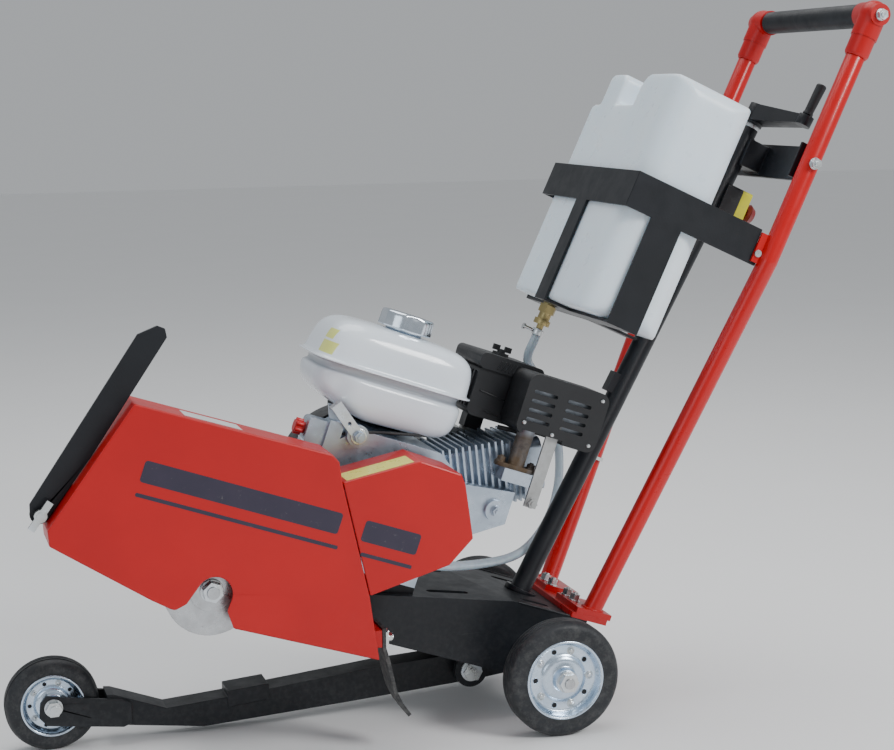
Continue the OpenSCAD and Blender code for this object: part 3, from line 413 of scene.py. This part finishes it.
# Width in metres of the small rounding on each CAD node's sharp edges
COMMON_BEVEL = 0.0004
BEVEL = {
    "blade_guard": 0.0022, "belt_cover": 0.002, "base_frame": 0.002, "front_arm": 0.002,
    "tank_cradle": 0.0009, "pointer_bar": 0.0006, "crank_arm": 0.0012, "crank_bracket": 0.0009,
    "estop_box": 0.001, "muffler_guard": 0.0, "air_cleaner": 0.0012, "crankcase": 0.0008,
    "cylinder_head": 0.0008, "handle_elbows": 0.0008, "rear_bracket": 0.001, "muffler": 0.001,
    "axle_nuts": 0.0006, "frame_bolts": 0.0005, "arbor_nut": 0.0006, "arm_pivot_bolt": 0.0006,
    "front_axle": 0.0006, "drain_fitting": 0.0005, "blade_flanges": 0.0006, "fuel_cap": 0.0008,
}
for name, o in frame["nodes"].items():
    slot_name = node_slot[name]
    o.data.materials.clear()
    o.data.materials.append(M[slot_name])
    width = BEVEL.get(name, COMMON_BEVEL)
    if width:
        weld = o.modifiers.new("weld", "WELD")
        weld.merge_threshold = 0.000004
        bevel = o.modifiers.new("rounding", "BEVEL")
        bevel.width = width
        bevel.segments = 2
        bevel.limit_method = "ANGLE"
        bevel.angle_limit = math.radians(35)
        bevel.use_clamp_overlap = True
        bevel.harden_normals = False

# ---------- making pieces ----------


def circle(r, n):
    """n points round the origin in the plane."""
    return [(r * math.cos(2 * math.pi * k / n), r * math.sin(2 * math.pi * k / n)) for k in range(n)]


def shaped(name, part, body, mat, matrix=CHASSIS, shade=True):
    """A piece from vertices in millimetres and faces."""
    verts, faces = part
    return place(name, mesh_of(name, scaled(verts), faces), body, mat, matrix, shade)


def place(name, mesh, body, mat, matrix=None, shade=True):
    """Puts a mesh in the scene as a piece that rides a body."""
    if matrix is not None:
        mesh.transform(matrix)
    o = bpy.data.objects.new(name, mesh)
    scene.collection.objects.link(o)
    mesh.materials.append(mat)
    if shade:
        smooth(o)
    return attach(o, body)


def mesh_of(name, verts, faces):
    me = bpy.data.meshes.new(name)
    me.from_pydata([tuple(v) for v in verts], [], faces)
    me.update()
    return me


def loft(rings, cap=True):
    """Vertices and faces through closed rings of equal length."""
    n = len(rings[0])
    verts = [p for r in rings for p in r]
    faces = []
    for i in range(len(rings) - 1):
        for k in range(n):
            j = (k + 1) % n
            faces.append((i * n + k, i * n + j, (i + 1) * n + j, (i + 1) * n + k))
    if cap:
        faces.append(tuple(range(n - 1, -1, -1)))
        faces.append(tuple((len(rings) - 1) * n + k for k in range(n)))
    return verts, faces


def oblong(a, b, n, power):
    """A rounded rectangle as a superellipse of half sizes a and b."""
    ring = []
    for k in range(n):
        t = 2 * math.pi * (k + 0.5) / n
        c, s = math.cos(t), math.sin(t)
        ring.append((a * math.copysign(abs(c) ** (2 / power), c),
            b * math.copysign(abs(s) ** (2 / power), s)))
    return ring


def lathe(profile, n=96):
    """A closed outline of (radius, height) turned about Z."""
    verts = []
    for k in range(n):
        t = 2 * math.pi * k / n
        verts += [(r * math.cos(t), r * math.sin(t), z) for r, z in profile]
    m = len(profile)
    faces = []
    for k in range(n):
        for i in range(m):
            a, b = k * m + i, k * m + (i + 1) % m
            c, d = ((k + 1) % n) * m + (i + 1) % m, ((k + 1) % n) * m + i
            faces.append((a, d, c, b))
    return verts, faces


def scaled(points, s=0.001):
    return [(x * s, y * s, z * s) for x, y, z in points]


def join(parts):
    """Several parts as one."""
    verts, faces = [], []
    for v, f in parts:
        k = len(verts)
        verts += list(v)
        faces += [tuple(i + k for i in g) for g in f]
    return verts, faces


def moved(part, matrix):
    v, f = part
    return [tuple(matrix @ Vector(p)) for p in v], f


def dome(r, h, n=20, rings=6):
    """A low round head, base on z = 0."""
    levels = np.linspace(0, math.pi / 2 * 0.96, rings)
    return loft([[(x, y, h * math.sin(a)) for x, y in circle(r * math.cos(a), n)] for a in levels])


def hex_bolt(across, h, washer):
    """A hexagon head with a chamfered crown on its washer, base on z = 0."""
    r = across / math.cos(math.pi / 6) / 2
    w = [(washer * 0.2, 0), (washer, 0), (washer, 1.2), (washer - 0.5, 1.7), (washer * 0.2, 1.7)]
    levels = ((r * 0.98, 1.7), (r, 2.0), (r, 1.7 + h * 0.8))
    sides = loft([[(x, y, z) for x, y in circle(rr, 6)] for rr, z in levels], cap=False)
    crown = ((across * 0.47, 1.7 + h * 0.86), (across * 0.40, 1.7 + h), (across * 0.10, 1.7 + h * 1.02))
    crown = [[(x, y, z) for x, y in circle(rr, 24)] for rr, z in crown]
    top = [(x, y, 1.7 + h * 0.8) for x, y in circle(r, 6)]
    base = [(x, y, 1.7 + h * 0.86) for x, y in circle(across * 0.47, 24)]
    skirt_v = top + base
    skirt_f = []
    for k in range(6):
        j = (k + 1) % 6
        a = [6 + (4 * k + i) % 24 for i in range(5)]
        skirt_f.append((k, j, a[4], a[3], a[2], a[1], a[0]))
    return join([lathe(w, 32), sides, (skirt_v, skirt_f), loft(crown)])


def tube(path, r, n=12):
    """A round tube along points, with frames carried along it."""
    pts = [Vector(p) for p in path]
    rings = []
    side = None
    for i, p in enumerate(pts):
        t = (pts[min(i + 1, len(pts) - 1)] - pts[max(i - 1, 0)]).normalized()
        if side is None:
            side = t.orthogonal().normalized()
        side = (side - t * side.dot(t)).normalized()
        other = t.cross(side)
        rr = r(i) if callable(r) else r
        rings.append([tuple(p + side * x + other * y) for x, y in circle(rr, n)])
    return loft(rings)


def spline(points, steps=8):
    """Catmull-Rom through the points."""
    p = [Vector(x) for x in points]
    p = [p[0] * 2 - p[1]] + p + [p[-1] * 2 - p[-2]]
    out = []
    for i in range(1, len(p) - 2):
        for s in range(steps):
            t = s / steps
            a, b, c, d = p[i - 1], p[i], p[i + 1], p[i + 2]
            square, cube = 2 * a - 5 * b + 4 * c - d, 3 * b - a - 3 * c + d
            out.append(0.5 * (2 * b + (c - a) * t + square * t * t + cube * t * t * t))
    out.append(p[-2])
    return out


def weld_bead(path, r, seed=0):
    """A laid weld: overlapping ripples along the points, in metres."""
    pts = spline(path, 6)

    def width(i):
        wobble = noise.noise(Vector((seed * 7.3, i * 0.9, 0.4)))
        return r * (1 + 0.16 * math.sin(i * 2.4) + 0.18 * wobble) * (0.55 if i in (0, len(pts) - 1) else 1)

    return tube(pts, width, 8)


def turned_to(axis):
    """Rotation that takes +Z to the axis."""
    return Vector(axis).to_track_quat("Z", "Y").to_matrix().to_4x4()


def remeshed(name, node, voxel, passes, factor=0.5):
    """The CAD solid of a node with its edges blown round, as its own mesh."""
    src = frame["nodes"][node]
    me = src.data.copy()
    me.materials.clear()
    tmp = bpy.data.objects.new(name + "_tmp", me)
    scene.collection.objects.link(tmp)
    weld = tmp.modifiers.new("weld", "WELD")
    weld.merge_threshold = 0.000004
    vox = tmp.modifiers.new("vox", "REMESH")
    vox.mode = "VOXEL"
    vox.voxel_size = voxel
    vox.use_smooth_shade = True
    sm = tmp.modifiers.new("sm", "SMOOTH")
    sm.factor = factor
    sm.iterations = passes
    dg = bpy.context.evaluated_depsgraph_get()
    out = bpy.data.meshes.new_from_object(tmp.evaluated_get(dg))
    out.name = name
    out.materials.clear()
    bpy.data.objects.remove(tmp)
    return out


# ---------- fuel tank ----------


def tank_paint(name):
    """White gloss paint, shaded band under the seam, two plain pale-yellow labels."""
    m = Mat(name)
    zc = m.along((math.sin(NOSE_UP), 0, math.cos(NOSE_UP)), AXLE)
    xc = m.along((math.cos(NOSE_UP), 0, -math.sin(NOSE_UP)), AXLE)
    yc = m.along((0, 1, 0), (0, 0, 0))
    c = m.mix(m.mask(m.noise(9, 5), 0.3, 0.7), (0.80, 0.86, 0.92), (0.75, 0.82, 0.89))
    c = m.mix(m.math("MULTIPLY", m.inside(zc, 0.3035, 0.3150, 0.0012), 0.75), c, (0.34, 0.38, 0.42))
    front = m.mask(xc, -0.396, -0.400)
    for y0, y1, z0, z1 in ((-0.068, -0.046, 0.343, 0.357), (-0.078, -0.048, 0.323, 0.340)):
        patch = m.math("MULTIPLY", m.inside(yc, y0, y1), m.inside(zc, z0, z1))
        c = m.mix(m.math("MULTIPLY", front, patch), c, (0.74, 0.78, 0.22))
    specks = m.math("MULTIPLY", m.mask(m.noise(120, 7, 0.8), 0.60, 0.80), 0.12)
    c = m.mix(specks, c, (0.45, 0.44, 0.40))
    m.colour(c)
    m.roughness(m.span(m.noise(34, 5, 0.65), 0.12, 0.26))
    m.bump((m.noise(300, 2, 0.5), 0.08, 0.0004), (m.noise(16, 2), 0.05, 0.002))
    return m.fixed(Coat_Weight=0.5, Coat_Roughness=0.08, Specular_IOR_Level=0.5).m


TANK_X, TANK_Y = -319.5, -13.5    # middle of the tank, chassis millimetres
HALF_X, HALF_Y = 116.5, 81.5      # half sizes of its seam
PAN_LOW, PAN_TOP = 248.5, 307.0   # heights of the pan under the seam
SEAM = 318.0                      # height of the seam's upper side
BACK_SHIFT = 5.0                  # how far the top leans to the rear
FILLER = (-311, -14)              # middle of the filler neck
STEP_X = -24                      # where the pan's bottom starts to rise to the front


def pan_floor(x):
    """Height of the pan's bottom along the tank, over the middle."""
    if x < STEP_X:
        return PAN_LOW + 24 * min(1.0, (STEP_X - x) / 86) ** 1.15
    return PAN_LOW + 3.5 * min(1.0, (x - STEP_X) / 130)


def front_third(x):
    """1 over the narrow front of the pan, 0 behind it."""
    t = max(0.0, min(1.0, (-x - 52) / 26))
    return t * t * (3 - 2 * t)


def pan_ring(z, dx, dy, power):
    """A level of the pan, drawn in by dx and dy, fitted between the bottom and the seam."""
    t = (z - PAN_LOW) / 58.5
    ring = []
    for x, y in oblong(HALF_X - dx, HALF_Y - dy, 88, power):
        low = pan_floor(x)
        squeeze = (7.5 if y < 0 else 3.0) * front_third(x) * min(1.0, max(0.0, (1.0 - t) * 5))
        level = low + (z - PAN_LOW) / (PAN_TOP - PAN_LOW) * (PAN_TOP - low)
        ring.append((TANK_X + x, TANK_Y + y * (1 - squeeze / HALF_Y), level))
    return ring


def top_ring(z, dx, dy, power):
    """A level of the upper shell, drawn in by dx and dy."""
    ring = []
    for x, y in oblong(HALF_X - dx, HALF_Y - dy, 88, power):
        crown = -5.0 * max(0.0, x / HALF_X) ** 2 * max(0.0, z - 335) / 44
        ring.append((TANK_X + x + BACK_SHIFT * (z - SEAM) / 59, TANK_Y + y, z + crown))
    return ring


# Levels as (height, drawn in along, drawn in across, squareness)
pan_levels = (
    (249.3, 80, 58, 3.2), (248.9, 60, 42, 3.5), (248.7, 43, 30, 3.9), (249.6, 31, 22.5, 4.2),
    (252.5, 22, 16.5, 4.4), (258, 15.5, 12.5, 4.6), (266, 11.4, 9.8, 4.8), (277, 9, 8.4, 4.8),
    (288, 8, 7.6, 4.8), (296, 8, 7.6, 4.8), (300, 9.6, 9, 4.8), (302.5, 12, 11.2, 4.8),
    (304.5, 14, 13, 4.8), (307, 15, 14, 4.8),
)
top_levels = (
    (310, 15, 14, 4.8), (313, 14, 13, 4.8), (314.6, 11, 10, 4.8), (315.4, 3, 3, 4.8),
    (315.7, 0.6, 0.6, 4.8), (316.3, 0, 0, 4.8), (317.5, 0, 0, 4.8), (318.1, 0.6, 0.6, 4.8),
    (318.4, 4, 4, 5.2), (319.5, 6.4, 6, 5.2), (325, 7.2, 6.6, 5.2), (334, 8.0, 7.4, 5.2),
    (344, 9.4, 8.8, 5.1), (353, 11, 10.6, 5.0), (360.5, 14, 13.4, 4.9), (366.5, 18.5, 17.6, 4.7),
    (371.2, 25, 23.5, 4.5), (374.8, 35, 32, 4.1), (376.8, 51, 46, 3.6), (377.5, 82, 65, 3.0),
)
rings = [pan_ring(*level) for level in pan_levels] + [top_ring(*level) for level in top_levels]
fuel_paint = tank_paint("white_tank_paint_body")
petrol = shaped("petrol_tank", loft(rings), "chassis", fuel_paint)
rounding = petrol.modifiers.new("smooth", "SUBSURF")
rounding.levels = 1
rounding.render_levels = 1
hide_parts("fuel_tank")

neck = lathe([(26, 374), (26, 385.6), (25.2, 386), (22.4, 386), (22, 385), (22, 374)], 64)
neck = moved(neck, Matrix.Translation((*FILLER, 0)))
shaped("tank_neck", neck, "chassis", M["fuel_cap"])

# Plated cap with four pressed flats, as (height, radius, depth of the flats)
cap_levels = (
    (380.6, 35.5, 0.5), (381.0, 38, 0.8), (383, 38, 1), (396, 37.6, 1), (400, 37.2, 0.9),
    (402.4, 36, 0.5), (403.3, 34, 0.1), (403.4, 30, 0), (402.6, 27, 0), (402.6, 3, 0),
)
cap_rings = []
for z, r, lobe in cap_levels:
    ring = []
    for k in range(128):
        t = 2 * math.pi * k / 128
        reach = r - lobe * 3.4 * max(0.0, math.cos(4 * t)) ** 0.7
        ring.append((reach * math.cos(t) + FILLER[0], reach * math.sin(t) + FILLER[1], z))
    cap_rings.append(ring)
cap = shaped("petrol_cap_shell", loft(cap_rings), "petrol_cap", M["fuel_cap"])
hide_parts("fuel_cap")

# ---------- water tank and hose ----------

can = remeshed("water_can", "water_tank", 0.0032, 11)
can = place("water_can", can, "chassis", M["tank_plastic"])
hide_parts("water_tank")

# Points in millimetres from the rear axle, heights from the ground
route = [
    (56.2, 55, 521.7), (48.3, 55, 504.6), (42, 57, 490), (43, 62, 476), (54, 68, 460),
    (68, 76, 438), (84, 86, 408), (96, 94, 376), (103, 98, 346), (106, 100, 318),
    (104, 98, 290), (97, 92, 266), (86, 82, 246), (68, 66, 228), (44, 44, 214),
    (16, 18, 206), (-16, -12, 206), (-52, -46, 212), (-88, -80, 220), (-122, -108, 228),
    (-150, -130, 236), (-170, -142, 242),
]
HOSE_D = 0.013
way = spline([(AXLE.x + x / 1000, y / 1000, z / 1000) for x, y, z in route], 5)
verts, faces = tube(way, HOSE_D / 2, 16)
hose = mesh_of("clear_hose", verts, faces)
hose = place("clear_hose", hose, "chassis", M["hose_plastic"])
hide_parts("water_hose")

# ---------- wheels ----------


def rim_part(r, w, hub_r, hub_h, bore):
    """Pressed disc rim, outer side up: rolled lip, sloping well, riveted flat ring and stepped hub."""
    h = w / 2
    outside = [
        (r + 2.2, h - 0.4), (r + 1.6, h + 0.3), (r + 0.4, h + 0.5), (r - 0.8, h - 0.2),
        (r - 2.4, h - 3.0), (r - 3.4, h - 6.5), (r * 0.90, 8.6), (r * 0.87, 7.4),
        (r * 0.84, 7.0), (r * 0.66, 7.0), (r * 0.62, 7.6), (r * 0.58, 9.6), (r * 0.53, 11.6),
        (r * 0.47, 12.2), (hub_r + 2.5, 12.4), (hub_r + 0.8, 13.4), (hub_r, 15.0),
        (hub_r - 0.3, hub_h / 2 - 0.8), (hub_r - 1.2, hub_h / 2), (bore, hub_h / 2),
    ]
    inside = [
        (bore, -hub_h / 2), (hub_r - 1.2, -hub_h / 2), (hub_r, -hub_h / 2 + 1), (hub_r, 4.2),
        (r * 0.60, 4.4), (r * 0.88, 4.4), (r - 4.6, 4.0), (r - 4.6, -h + 5), (r - 3.0, -h + 1),
        (r - 0.5, -h - 0.3), (r + 1.6, -h + 0.1), (r + 1.6, -h + 2.4), (r + 0.1, -h + 2.6),
        (r + 0.1, h - 2.6), (r + 1.6, h - 2.4),
    ]
    return lathe(outside + inside, 96)


def round_the_rim(r, k, z, start=0):
    """The place of the k-th of five, at height z over the rim's flat ring."""
    t = math.radians(72 * k + start)
    return Matrix.Translation((r * 0.74 * math.cos(t), r * 0.74 * math.sin(t), z))


def rim_rivets(r):
    """Five low rivet heads on collars."""
    parts = []
    for k in range(5):
        at = round_the_rim(r, k, 6.9)
        collar = [(r * 0.07, 0), (r * 0.11, 0), (r * 0.105, 0.7), (r * 0.07, 0.9)]
        parts.append(moved(dome(r * 0.078, 3.0), at))
        parts.append(moved(lathe(collar, 24), at))
    return join(parts)


def rim_holes(r):
    """Dark eyes of the five holes between the rivets, each with its pressed rim."""
    eye = loft([[(x, y, z) for x, y in circle(r * 0.068, 24)] for z in (-0.5, 0.06)])
    edge = lathe([(r * 0.066, -0.1), (r * 0.086, -0.1), (r * 0.082, 0.35), (r * 0.072, 0.5),
                  (r * 0.066, 0.2)], 24)
    places = [round_the_rim(r, k, 7.0, 36) for k in range(5)]
    return join([moved(eye, at) for at in places]), join([moved(edge, at) for at in places])


def tyre_part(d, w, rim_r):
    """Solid tyre with a rounded shoulder and three grooves round its tread."""
    h = w / 2
    R = d / 2
    outline = [
        (rim_r + 0.2, h - 2.2), (rim_r + 1.5, h - 0.9), (rim_r + 3.4, h - 0.35),
        (rim_r + 4.4, h - 0.9), (rim_r + 5.6, h - 1.0), (R - 13, h - 0.2), (R - 10, h - 0.1),
        (R - 7, h - 0.8), (R - 4.4, h - 2.4), (R - 2.4, h - 4.8), (R - 1.3, h - 7.0),
        (R - 0.5, h - 9.6),
    ]
    groove = ((0, 1.3), (-0.5, 1.0), (-1.6, 0.8), (-1.6, -0.8), (-0.5, -1.0), (0, -1.3))
    crown = [(R - 0.2, h - 10.4)]
    for y in (7, 0, -7):
        crown += [(R + dr, y + dy) for dr, dy in groove]
    crown += [(R - 0.2, -h + 10.4)]
    under = [(r, -z) for r, z in reversed(outline)]
    return lathe(outline + crown + under, 128)


def split_edges(piece, degrees):
    """Keeps the edges sharper than this from being shaded round."""
    piece.modifiers.new("edges", "EDGE_SPLIT").split_angle = math.radians(degrees)


dark_hole = moulded("hole_shadow", (0.010, 0.010, 0.011), (0.016, 0.016, 0.017), (0.7, 0.9), 0.1, 0.0)
# tyre diameter and width, rim radius, hub radius and width, bore, side that the disc faces
REAR = (160, 40, 52.5, 16, 48, 10.05)
FRONT = (125, 36, 40, 13, 39.2, 6.05)
for tag, body, tyre_node, rim_node, spec, side in (
    ("rear_left", "rear_wheel_left", "rear_tyre_left", "rear_rim_left", REAR, -1),
    ("rear_right", "rear_wheel_right", "rear_tyre_right", "rear_rim_right", REAR, 1),
    ("front", "front_wheel", "front_tyre", "front_rim", FRONT, -1),
):
    d, w, r, hub_r, hub_h, bore = spec
    spot = Matrix.Translation(mid(tyre_node)) @ Matrix.Rotation(math.radians(-90 * side), 4, "X")
    rim = shaped(tag + "_rim", rim_part(r, w, hub_r, hub_h, bore), body, M["rim_zinc"], spot)
    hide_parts(rim_node)
    split_edges(rim, 50)
    shaped(tag + "_rivets", rim_rivets(r), body, M["zinc"], spot)
    eyes, eye_edges = rim_holes(r)
    shaped(tag + "_rim_eyes", eyes, body, dark_hole, spot, shade=False)
    shaped(tag + "_rim_eye_edges", eye_edges, body, M["rim_zinc"], spot)
    tyre = shaped(tag + "_tyre", tyre_part(d, w, r), body, M["tyre"], spot)
    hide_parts(tyre_node)
    split_edges(tyre, 48)

# ---------- marks, welds and small engine parts ----------


def foil(name, base, tint, rough, cell=500):
    """A thin stuck-on foil with a fine cell pattern and a little grime."""
    m = Mat(name)
    c = m.mix(m.mask(m.noise(30, 5), 0.3, 0.7), base, tint)
    grime = m.math("MULTIPLY", m.mask(m.noise(90, 7, 0.8), 0.60, 0.78), 0.5)
    c = m.mix(grime, c, (0.42, 0.40, 0.36))
    m.colour(c)
    m.roughness(m.span(m.noise(60, 4), *rough))
    m.bump((m.cells(cell), 0.25, 0.0002), (m.noise(24, 3), 0.1, 0.001))
    return m.fixed(Specular_IOR_Level=0.5).m


def slope_foil(start, end, near, far, y0, y1, t):
    """A foil on a sloping sheet between start and end (x, z), from near to far along it."""
    a = Vector((start[0], 0, start[1]))
    way = Vector((end[0] - start[0], 0, end[1] - start[1])).normalized()
    out = Vector((-way.z, 0, way.x))
    low, high = a + way * near + out * 0.05, a + way * far + out * 0.05
    across0, across1 = Vector((0, y0, 0)), Vector((0, y1, 0))
    ring = [low + across0, high + across0, high + across1, low + across1]
    middle = sum(ring, Vector()) / 4
    inner = [p + (middle - p).normalized() * t * 0.8 for p in ring]
    return loft([ring, [p + out * t * 0.7 for p in ring], [p + out * t for p in inner]])


def side_sheet(x0, x1, z0, z1, r=3.0):
    """A foil on the guard's near side: a rounded rectangle, chassis millimetres."""
    y, t = -200.0, 0.25
    pts = []
    for cx, cz, a0 in ((x1 - r, z1 - r, 0), (x0 + r, z1 - r, 90), (x0 + r, z0 + r, 180),
        (x1 - r, z0 + r, 270)):
        for k in range(7):
            a = math.radians(a0 + 15 * k)
            pts.append((cx + r * math.cos(a), cz + r * math.sin(a)))
    return loft([[(x, y + 0.02, z) for x, z in pts], [(x, y - t, z) for x, z in pts]])


yellow_foil = foil("yellow_foil", (0.82, 0.78, 0.16), (0.74, 0.70, 0.14), (0.22, 0.40), 420)
pale_foil = foil("pale_label", (0.62, 0.66, 0.66), (0.54, 0.58, 0.58), (0.30, 0.48))
dark_foil = foil("dark_foil", (0.020, 0.016, 0.036), (0.030, 0.022, 0.045), (0.28, 0.46))

# Yellow strip on the belt cover's slope, blank label on the guard's top, plain dark stripes
marks = (
    ("cover_strip", slope_foil((-385, 178), (-294, 232), 6, 98, -194, -152, 0.4), yellow_foil),
    ("guard_label", slope_foil((-670, 203), (-410, 209), 66, 142, -186, -146, 0.3), pale_foil),
    ("side_bars", join([side_sheet(-636, -372, 112, 140, 4), side_sheet(-636, -366, 93, 98, 2)]), dark_foil),
    ("cover_bars", join([side_sheet(-340, -262, 112, 140, 4), side_sheet(-334, -262, 93, 98, 2)]), dark_foil),
)
for name, part, mat in marks:
    shaped(name, part, "chassis", mat, shade=False)


def bead(name, points, r, slot_name, seed, body="chassis", matrix=CHASSIS):
    """A weld bead of radius r along points, all in millimetres."""
    verts, faces = weld_bead(scaled(points), r / 1000, seed)
    place(name, mesh_of(name, verts, faces), body, M[slot_name], matrix)


def closed(a, b, n):
    """n + 1 points once round an ellipse of half sizes a and b."""
    return [(a * math.cos(t), b * math.sin(t)) for t in [2 * math.pi * i / n for i in range(n + 1)]]


for k, side in enumerate((-1, 1)):
    deck_front = [(-545 + 30 * i, side * 99.6, 28.2) for i in range(10)]
    deck_rear = [(-60 + 20 * i, side * 99.6, 70.2) for i in range(6)]
    foot = [(58 + x, side * 87 + y, 86.2) for x, y in closed(14.6, 14.0, 14)]
    boss = [(x, side * 100.4, z) for x, z in closed(19.6, 19.6, 18)]
    bead("deck_weld_front_%d" % k, deck_front, 1.6, "frame_black", k)
    bead("deck_weld_rear_%d" % k, deck_rear, 1.6, "frame_black", k + 2)
    bead("foot_weld_%d" % k, foot, 1.9, "handle_red", k + 4)
    bead("boss_weld_%d" % k, boss, 1.5, "frame_black", k + 6)
bead("tube_weld", [(x - 13.2, y, 70.6) for x, y in closed(17.5, 15.6, 16)], 1.8, "crank_black", 9)
ARM = Matrix.Translation((AXLE.x, 0, 0))
cheek = [(-560, -20.4, 31 + 4 * i) for i in range(7)]
stop = [(-428 + 8 * i, -20.6, 36 + 0.7 * i) for i in range(8)]
bead("arm_weld_1", cheek, 1.4, "frame_black", 11, "guide_arm", ARM)
bead("arm_weld_2", stop, 1.4, "frame_black", 12, "guide_arm", ARM)

# Grip sleeve with its fine ribs
SLEEVE_HALF, RIB_PITCH = 134.2, 2.86
ribs = [(13.5, -SLEEVE_HALF)]
z = -SLEEVE_HALF
while z < SLEEVE_HALF - 0.1:
    ribs += [(16.0, z), (16.5, z + 0.7), (16.5, z + 1.5), (16.0, z + 2.2)]
    z += RIB_PITCH
ribs += [(13.5, SLEEVE_HALF)]
sleeve = shaped("ribbed_sleeve", lathe(ribs, 40), "chassis", M["sleeve_rubber"],
                Matrix.Translation(mid("grip_sleeve")) @ Matrix.Rotation(math.pi / 2, 4, "X"))
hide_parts("grip_sleeve")


def wire(name, points, r, mat):
    """A round lead of radius r along chassis points, in millimetres."""
    verts, faces = tube([p / 1000 for p in spline(points, 6)], r / 1000, 10)
    place(name, mesh_of(name, verts, faces), "chassis", mat, CHASSIS)


# Petrol pipe, spark lead and stop lead, each tight between its ends
black_hose = rubber("petrol_hose", (0.014, 0.014, 0.016), (0.026, 0.026, 0.028), 0.2)
petrol_run = [(-228, 44, 262), (-222, 58, 254), (-212, 66, 250), (-197, 70, 252)]
spark_run = [(-96, -6, 262), (-84, -14, 278), (-92, -26, 288), (-112, -28, 292), (-138, -20, 290)]
stop_run = [(-395, -70, 214), (-370, -80, 226), (-330, -84, 240), (-280, -80, 250), (-236, -60, 256)]
wire("petrol_pipe", petrol_run, 3.2, black_hose)
wire("spark_lead", spark_run, 3.4, black_hose)
wire("stop_lead", stop_run, 2.0, black_hose)

# Screws of the muffler guard
for k, (x, z) in enumerate(((-133, 312), (-88, 306), (-31, 306), (-31, 371))):
    at = CHASSIS @ Matrix.Translation((x / 1000, -0.0971, z / 1000)) @ turned_to((0, -1, 0))
    shaped("guard_screw_%d" % k, hex_bolt(4, 1.4, 2.64), "chassis", M["zinc"], at, shade=False)

# Moulded lines on the air cleaner's side and its louvres
for k, ((x0, z0), (x1, z1)) in enumerate((((-182, 332.6), (-141, 328.4)), ((-168, 307.4), (-138, 302.0)))):
    line = [(x0, -25.3, z0), ((x0 + x1) / 2, -25.6, (z0 + z1) / 2), (x1, -25.3, z1)]
    wire("cleaner_line_%d" % k, line, 1.2, M["engine_black"])
for k in range(7):
    x = -168 + 6 * k
    louvre = [(x, -29.2, 367.5), (x + 2, -29.5, 374), (x + 4, -29.2, 381)]
    wire("cleaner_louvre_%d" % k, louvre, 1.1, M["engine_black"])

# ---------- light and floor ----------

world = bpy.data.worlds.new("studio")
scene.world = world
world.use_nodes = True
bg = world.node_tree.nodes["Background"]
bg.inputs[0].default_value = (0.93, 0.965, 1.0, 1)
bg.inputs[1].default_value = 0.46


def area(name, at, look, size, power, colour=(1, 1, 1)):
    d = bpy.data.lights.new(name, "AREA")
    d.shape = "RECTANGLE"
    d.size, d.size_y = size
    d.energy = power
    d.color = colour
    o = bpy.data.objects.new(name, d)
    scene.collection.objects.link(o)
    o.location = at
    o.rotation_mode = "QUATERNION"
    o.rotation_quaternion = (Vector(at) - Vector(look)).to_track_quat("Z", "Y")


area("key", (1.9, -2.5, 2.3), (0, 0, 0.4), (1.1, 1.1), 82)
area("fill", (-2.6, -1.9, 1.7), (0, 0, 0.4), (1.8, 1.6), 15, (0.86, 0.93, 1))
area("top", (0.0, 0.6, 3.2), (0, 0, 0.3), (2.4, 2.4), 52)

floor_mesh = bpy.data.meshes.new("floor")
bm = bmesh.new()
bmesh.ops.create_grid(bm, x_segments=1, y_segments=1, size=14)
bm.to_mesh(floor_mesh)
bm.free()
floor = bpy.data.objects.new("floor", floor_mesh)
scene.collection.objects.link(floor)
floor_mat = Mat("pale_floor")
floor_mat.colour(floor_mat.mix(floor_mat.noise(3, 3), (0.90, 0.90, 0.90), (0.93, 0.93, 0.93)))
floor_mat.fixed(Roughness=0.75)
floor.data.materials.append(floor_mat.m)
